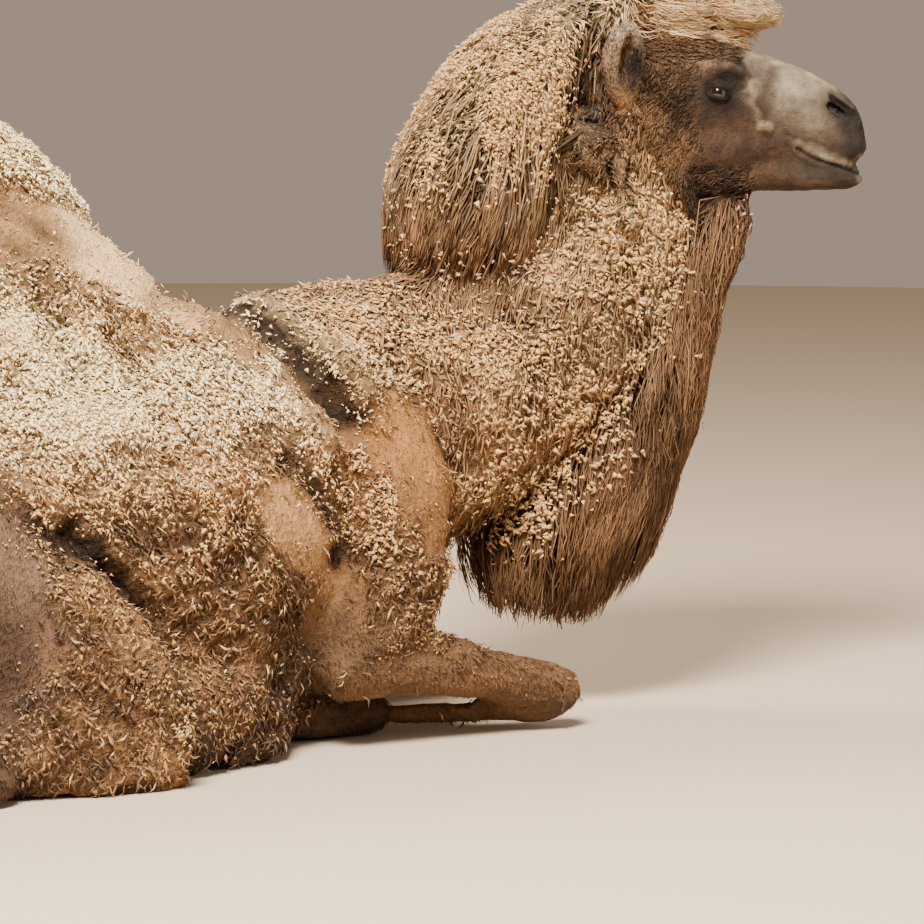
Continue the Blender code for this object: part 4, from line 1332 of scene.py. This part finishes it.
def face_hair(skin, guide, material):
    """Shaggy hair of the cheeks, jaw, temples, brow and ears."""
    owner, local = skin["owner"], in_head(skin["verts"])
    weight = is_in(owner, "head") * shagginess(local) * step(-0.07, -0.02, seam_distance(local))
    roots = pick_roots(skin, weight + is_in(owner, "ear"), TUFTS["face"], guide)
    count = len(roots)
    ear, shag = roots.on("ear"), shagginess(in_head(roots.place))
    stray = np.cross(roots.normal, unit(RNG.normal(size=(count, 3))))
    way = along_skin(free_lie(roots.place, roots.normal, roots.owner) + stray * 0.35, roots.normal)
    length = np.where(ear, spread(count, 0.009, 0.018), spread(count, 0.014, 0.034) * (0.4 + 0.6 * shag))
    half = np.where(ear, spread(count, 0.0007, 0.0013), spread(count, 0.0012, 0.0024) * (0.6 + 0.4 * shag))
    pitch = spread(count, 0.10, 0.50)
    tufted = tufts(
        roots.sunk(0.001), way, roots.normal, length, half, pitch, -pitch * spread(count, 0.5, 1.6),
        spread(count, -0.4, 0.4), spread(count, -1.2, 1.2), 2, 0.6,
    )
    tone = 0.50 + 0.50 * step(0.25, 0.75, noise(roots.place, 0.020, 55))
    base = roots.colour * (tone * spread(count, 0.86, 1.16))[:, None]
    coat_pieces("coat_face", tufted, base, (0.85, 1.15), roots.patch, 1, material)


def bare_skin(verts, head):
    """1 where no hair grows: in the eyes' openings, in the nostrils and along the mouth."""
    local = in_head(verts)
    bare = np.zeros(len(verts))
    for side, sign in SIDES.items():
        look, nose, upward = eye_axes(sign)
        away = verts - EYE[side]
        gap = lid_distance(away @ nose, away @ upward)
        near = (np.linalg.norm(away, axis=1) < 0.05) & (away @ look > 0)
        bare = np.maximum(bare, near * step(0.006, 0.002, gap))
    nostril = (nostril_reach(local, 1.7) < 1) & (np.abs(local[:, 1]) > 0.01)
    return np.maximum(bare, head & ((mouth_distance(local) < 0.007) | nostril))


def short_fur(skin, guide, material):
    """Fine flat fur of the smooth areas, the legs and the face, smallest on the face and feet."""
    verts, owner = skin["verts"], skin["owner"]
    head = is_in(owner, "head", "ear")
    low_leg = is_in(owner, "forefoot", "hindfoot") | is_in(owner, "foreleg") & (verts[:, 2] < 0.24)
    density = np.where(head, 8.0 * (1 - 0.8 * shagginess(in_head(verts))), 1.0 + 2.5 * low_leg)
    weight = skin["sleek"] * (0.2 + 0.8 * step(-0.9, -0.2, skin["normals"][:, 2]))
    roots = pick_roots(skin, weight * density * (1 - bare_skin(verts, head)), TUFTS["short"], guide)
    count = len(roots)
    on_head = roots.on("head", "ear")
    muzzle = step(0.10, 0.18, in_head(roots.place)[:, 0]) * roots.on("head")
    length = np.where(on_head, spread(count, 0.006, 0.011) * (1 - 0.4 * muzzle), spread(count, 0.010, 0.020))
    half = np.where(on_head, spread(count, 0.0006, 0.0012), spread(count, 0.0014, 0.0024))
    pitch = np.where(on_head, spread(count, 0.06, 0.26), spread(count, 0.03, 0.16))
    tufted = tufts(
        roots.sunk(0.0008), roots.way, roots.normal, short_of_folds(roots, length), half, pitch, -pitch,
        spread(count, -0.35, 0.35), np.zeros(count), 1, 0.7,
    )
    base = roots.colour * spread(count, 0.90, 1.18)[:, None]
    coat_pieces("coat_short", tufted, base, (0.96, 1.10), roots.patch, 1, material)


LASH_SPAN, LASHES = (-0.017, 0.014), 34  # from the eye's back corner to its nose corner, and how many
LASH_HALF = 0.00035


def lashes(guide, material):
    """Long lashes on the upper lids."""
    roots, ways, lengths = [], [], []
    reach = EYE_RADIUS + 0.0016
    for side, sign in SIDES.items():
        look, nose, upward = eye_axes(sign)
        for x in np.linspace(*LASH_SPAN, LASHES):
            half = EYE_AHEAD if x > 0 else EYE_BACK
            y = EYE_ABOVE * np.sqrt(max(0, 1 - abs(x / half) ** EYE_POINT))
            z = np.sqrt(reach**2 - x * x - y * y)
            roots.append(EYE[side] + nose * x + upward * y + look * z)
            ways.append(unit(look * 0.8 - upward * spread(1, 0.10, 0.45) + nose * x * 18))
            lengths.append(spread(1, 0.012, 0.020)[0])
    roots, ways = np.array(roots), np.array(ways)
    none = np.zeros(len(roots))
    tufted = tufts(
        roots, ways, along_skin(UP, ways), np.array(lengths), none + LASH_HALF, none - 0.25, none + 0.6, none,
        none, 2,
    )
    base = np.tile(COLOUR["near_black"], (len(roots), 1))
    coat_pieces("coat_lashes", tufted, base, (0.6, 0.8), guide(roots), 1, material)


# --- eyes
# The eye's own dark colours, darkened further as painted shade from the lids and lashes.
IRIS, IRIS_RIM, PUPIL, EYE_WHITE = (28, 17, 10), (18, 10, 6), (4, 3, 3), (40, 29, 23)  # as sRGB bytes


def make_eyes(material):
    for side, sign in SIDES.items():
        look, nose, upward = eye_axes(sign)
        bm = bmesh.new()
        bmesh.ops.create_uvsphere(bm, u_segments=48, v_segments=32, radius=EYE_RADIUS - 0.0004)
        verts, tris = arrays_of_bmesh(bm)
        x, y, z = (verts / EYE_RADIUS).T
        bulge = 1 + 0.05 * step(0.70, 0.95, z)
        away = np.outer(x, nose) + np.outer(y, upward) + np.outer(z, look)
        obj = object_from(f"eyeball_{side}", EYE[side] + away * bulge[:, None] * EYE_RADIUS, tris)
        if np.dot(np.cross(nose, upward), look) < 0:
            obj.data.flip_normals()
        out = np.hypot(x, y)
        colours = mix(linear(IRIS), linear(IRIS_RIM), step(0.45, 0.62, out))
        colours = mix(colours, linear(PUPIL), step(1.15, 0.85, np.hypot(x / 0.36, y / 0.20)) * (z > 0))
        colours = mix(colours, linear(EYE_WHITE), np.clip(step(0.70, 0.78, out) + (z < 0), 0, 1))
        paint(obj, colours, material)
        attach(obj, "root")
        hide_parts(f"eye_{side}")


# --- the studio
FLOOR_RADIUS = 11.5
FLOOR_COLOUR = (0.53, 0.42, 0.305, 1)


def make_studio():
    """A wide round floor; the plain backdrop beyond it is the world."""
    bm = bmesh.new()
    bmesh.ops.create_circle(bm, cap_ends=True, segments=180, radius=FLOOR_RADIUS)
    mesh = bpy.data.meshes.new("studio_floor")
    bm.to_mesh(mesh)
    bm.free()
    mesh.materials.append(floor_material())
    floor = bpy.data.objects.new("studio_floor", mesh)
    bpy.context.scene.collection.objects.link(floor)


def area_light(name, place, aim, size, power, colour):
    data = bpy.data.lights.new(name, "AREA")
    data.size = size
    data.energy = power
    data.color = colour
    lamp = bpy.data.objects.new(name, data)
    lamp.location = place
    lamp.rotation_euler = (Vector(aim) - Vector(place)).to_track_quat("-Z", "Y").to_euler()
    bpy.context.scene.collection.objects.link(lamp)


# Each lamp's place, the place it points at, its size, power and colour.
LAMPS = {
    "key": ((-2.4, -3.6, 5.2), (0.1, -0.2, 0.6), 2.0, 1720, (1.0, 0.95, 0.865)),
    "rim": ((-1.5, 3.0, 4.2), (0.2, 0, 0.8), 2.5, 380, (1.0, 0.94, 0.84)),
    "fill": ((4.0, -4.5, 2.2), (0.6, 0, 0.6), 3.0, 110, (1.0, 0.97, 0.93)),
}
BACKDROP = (0.80, 0.62, 0.48, 1)
BACKDROP_LIGHT = 0.47


def make_lights():
    for name, lamp in LAMPS.items():
        area_light(name, *lamp)
    world = bpy.data.worlds.new("studio")
    world.use_nodes = True
    background = world.node_tree.nodes["Background"]
    feed(world.node_tree, background, {"Color": BACKDROP, "Strength": BACKDROP_LIGHT})
    bpy.context.scene.world = world


def make_camera():
    data = bpy.data.cameras.new("camera")
    data.lens = LENS
    data.sensor_width = SENSOR
    data.clip_end = 60
    camera = bpy.data.objects.new("camera", data)
    camera.location = Vector(FACE_MIDDLE) + CAMERA_FROM_FACE
    camera.rotation_euler = (pi / 2 - CAMERA_DIP, 0, CAMERA_HEADING - pi / 2)
    bpy.context.scene.collection.objects.link(camera)
    bpy.context.scene.camera = camera


# --- all of it
def make_skin(material):
    """The skin as a piece, all that the coat needs to know of it, and a tree of the outer surface."""
    body_outer, body = coarse_skin()
    head_outer, head = fine_head()
    verts, tris = joined(body, head)
    outer = tree_of(*gathered([body_outer, head_outer]))
    owner = owners(verts)
    colour, sleek = skin_colour(verts, owner), smoothness(verts, owner)
    obj = object_from("skin", verts, tris)
    # Painted shade under the coat: the skin is darkest beneath the long hair, darker beneath the wool and
    # little darkened under sleek fur.
    under = np.where(is_in(owner, "mane", "beard", "crown", "tail"), 0.50, 0.66 + 0.30 * sleek)
    furry = np.where(is_in(owner, "head", "ear", "forefoot", "hindfoot"), 0.12, 0.35)
    paint(obj, colour * under[:, None], material, furry + (1 - furry) * (1 - sleek))
    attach(obj, "root")
    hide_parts(*FLESH)
    places = nearest(outer, verts)[0]
    skin = {
        "verts": verts, "tris": tris, "normals": normals_of(verts, tris), "owner": owner, "colour": colour,
        "room": np.linalg.norm(places - verts, axis=1), "outer": places, "sleek": sleek,
    }
    return skin, outer


def main():
    make_camera()
    make_lights()
    make_studio()
    skin_look, wool_look, hair_look = (coat_material(f"camel_{name}", *look) for name, look in LOOKS.items())
    skin, outer = make_skin(skin_look)
    guide = uv_guide(skin)
    make_eyes(eye_material())
    wool(skin, guide, wool_look)
    flecks(skin, guide, wool_look)
    locks(skin, guide, outer, hair_look)
    strands(skin, guide, outer, hair_look)
    face_hair(skin, guide, hair_look)
    short_fur(skin, guide, hair_look)
    lashes(guide, hair_look)


main()
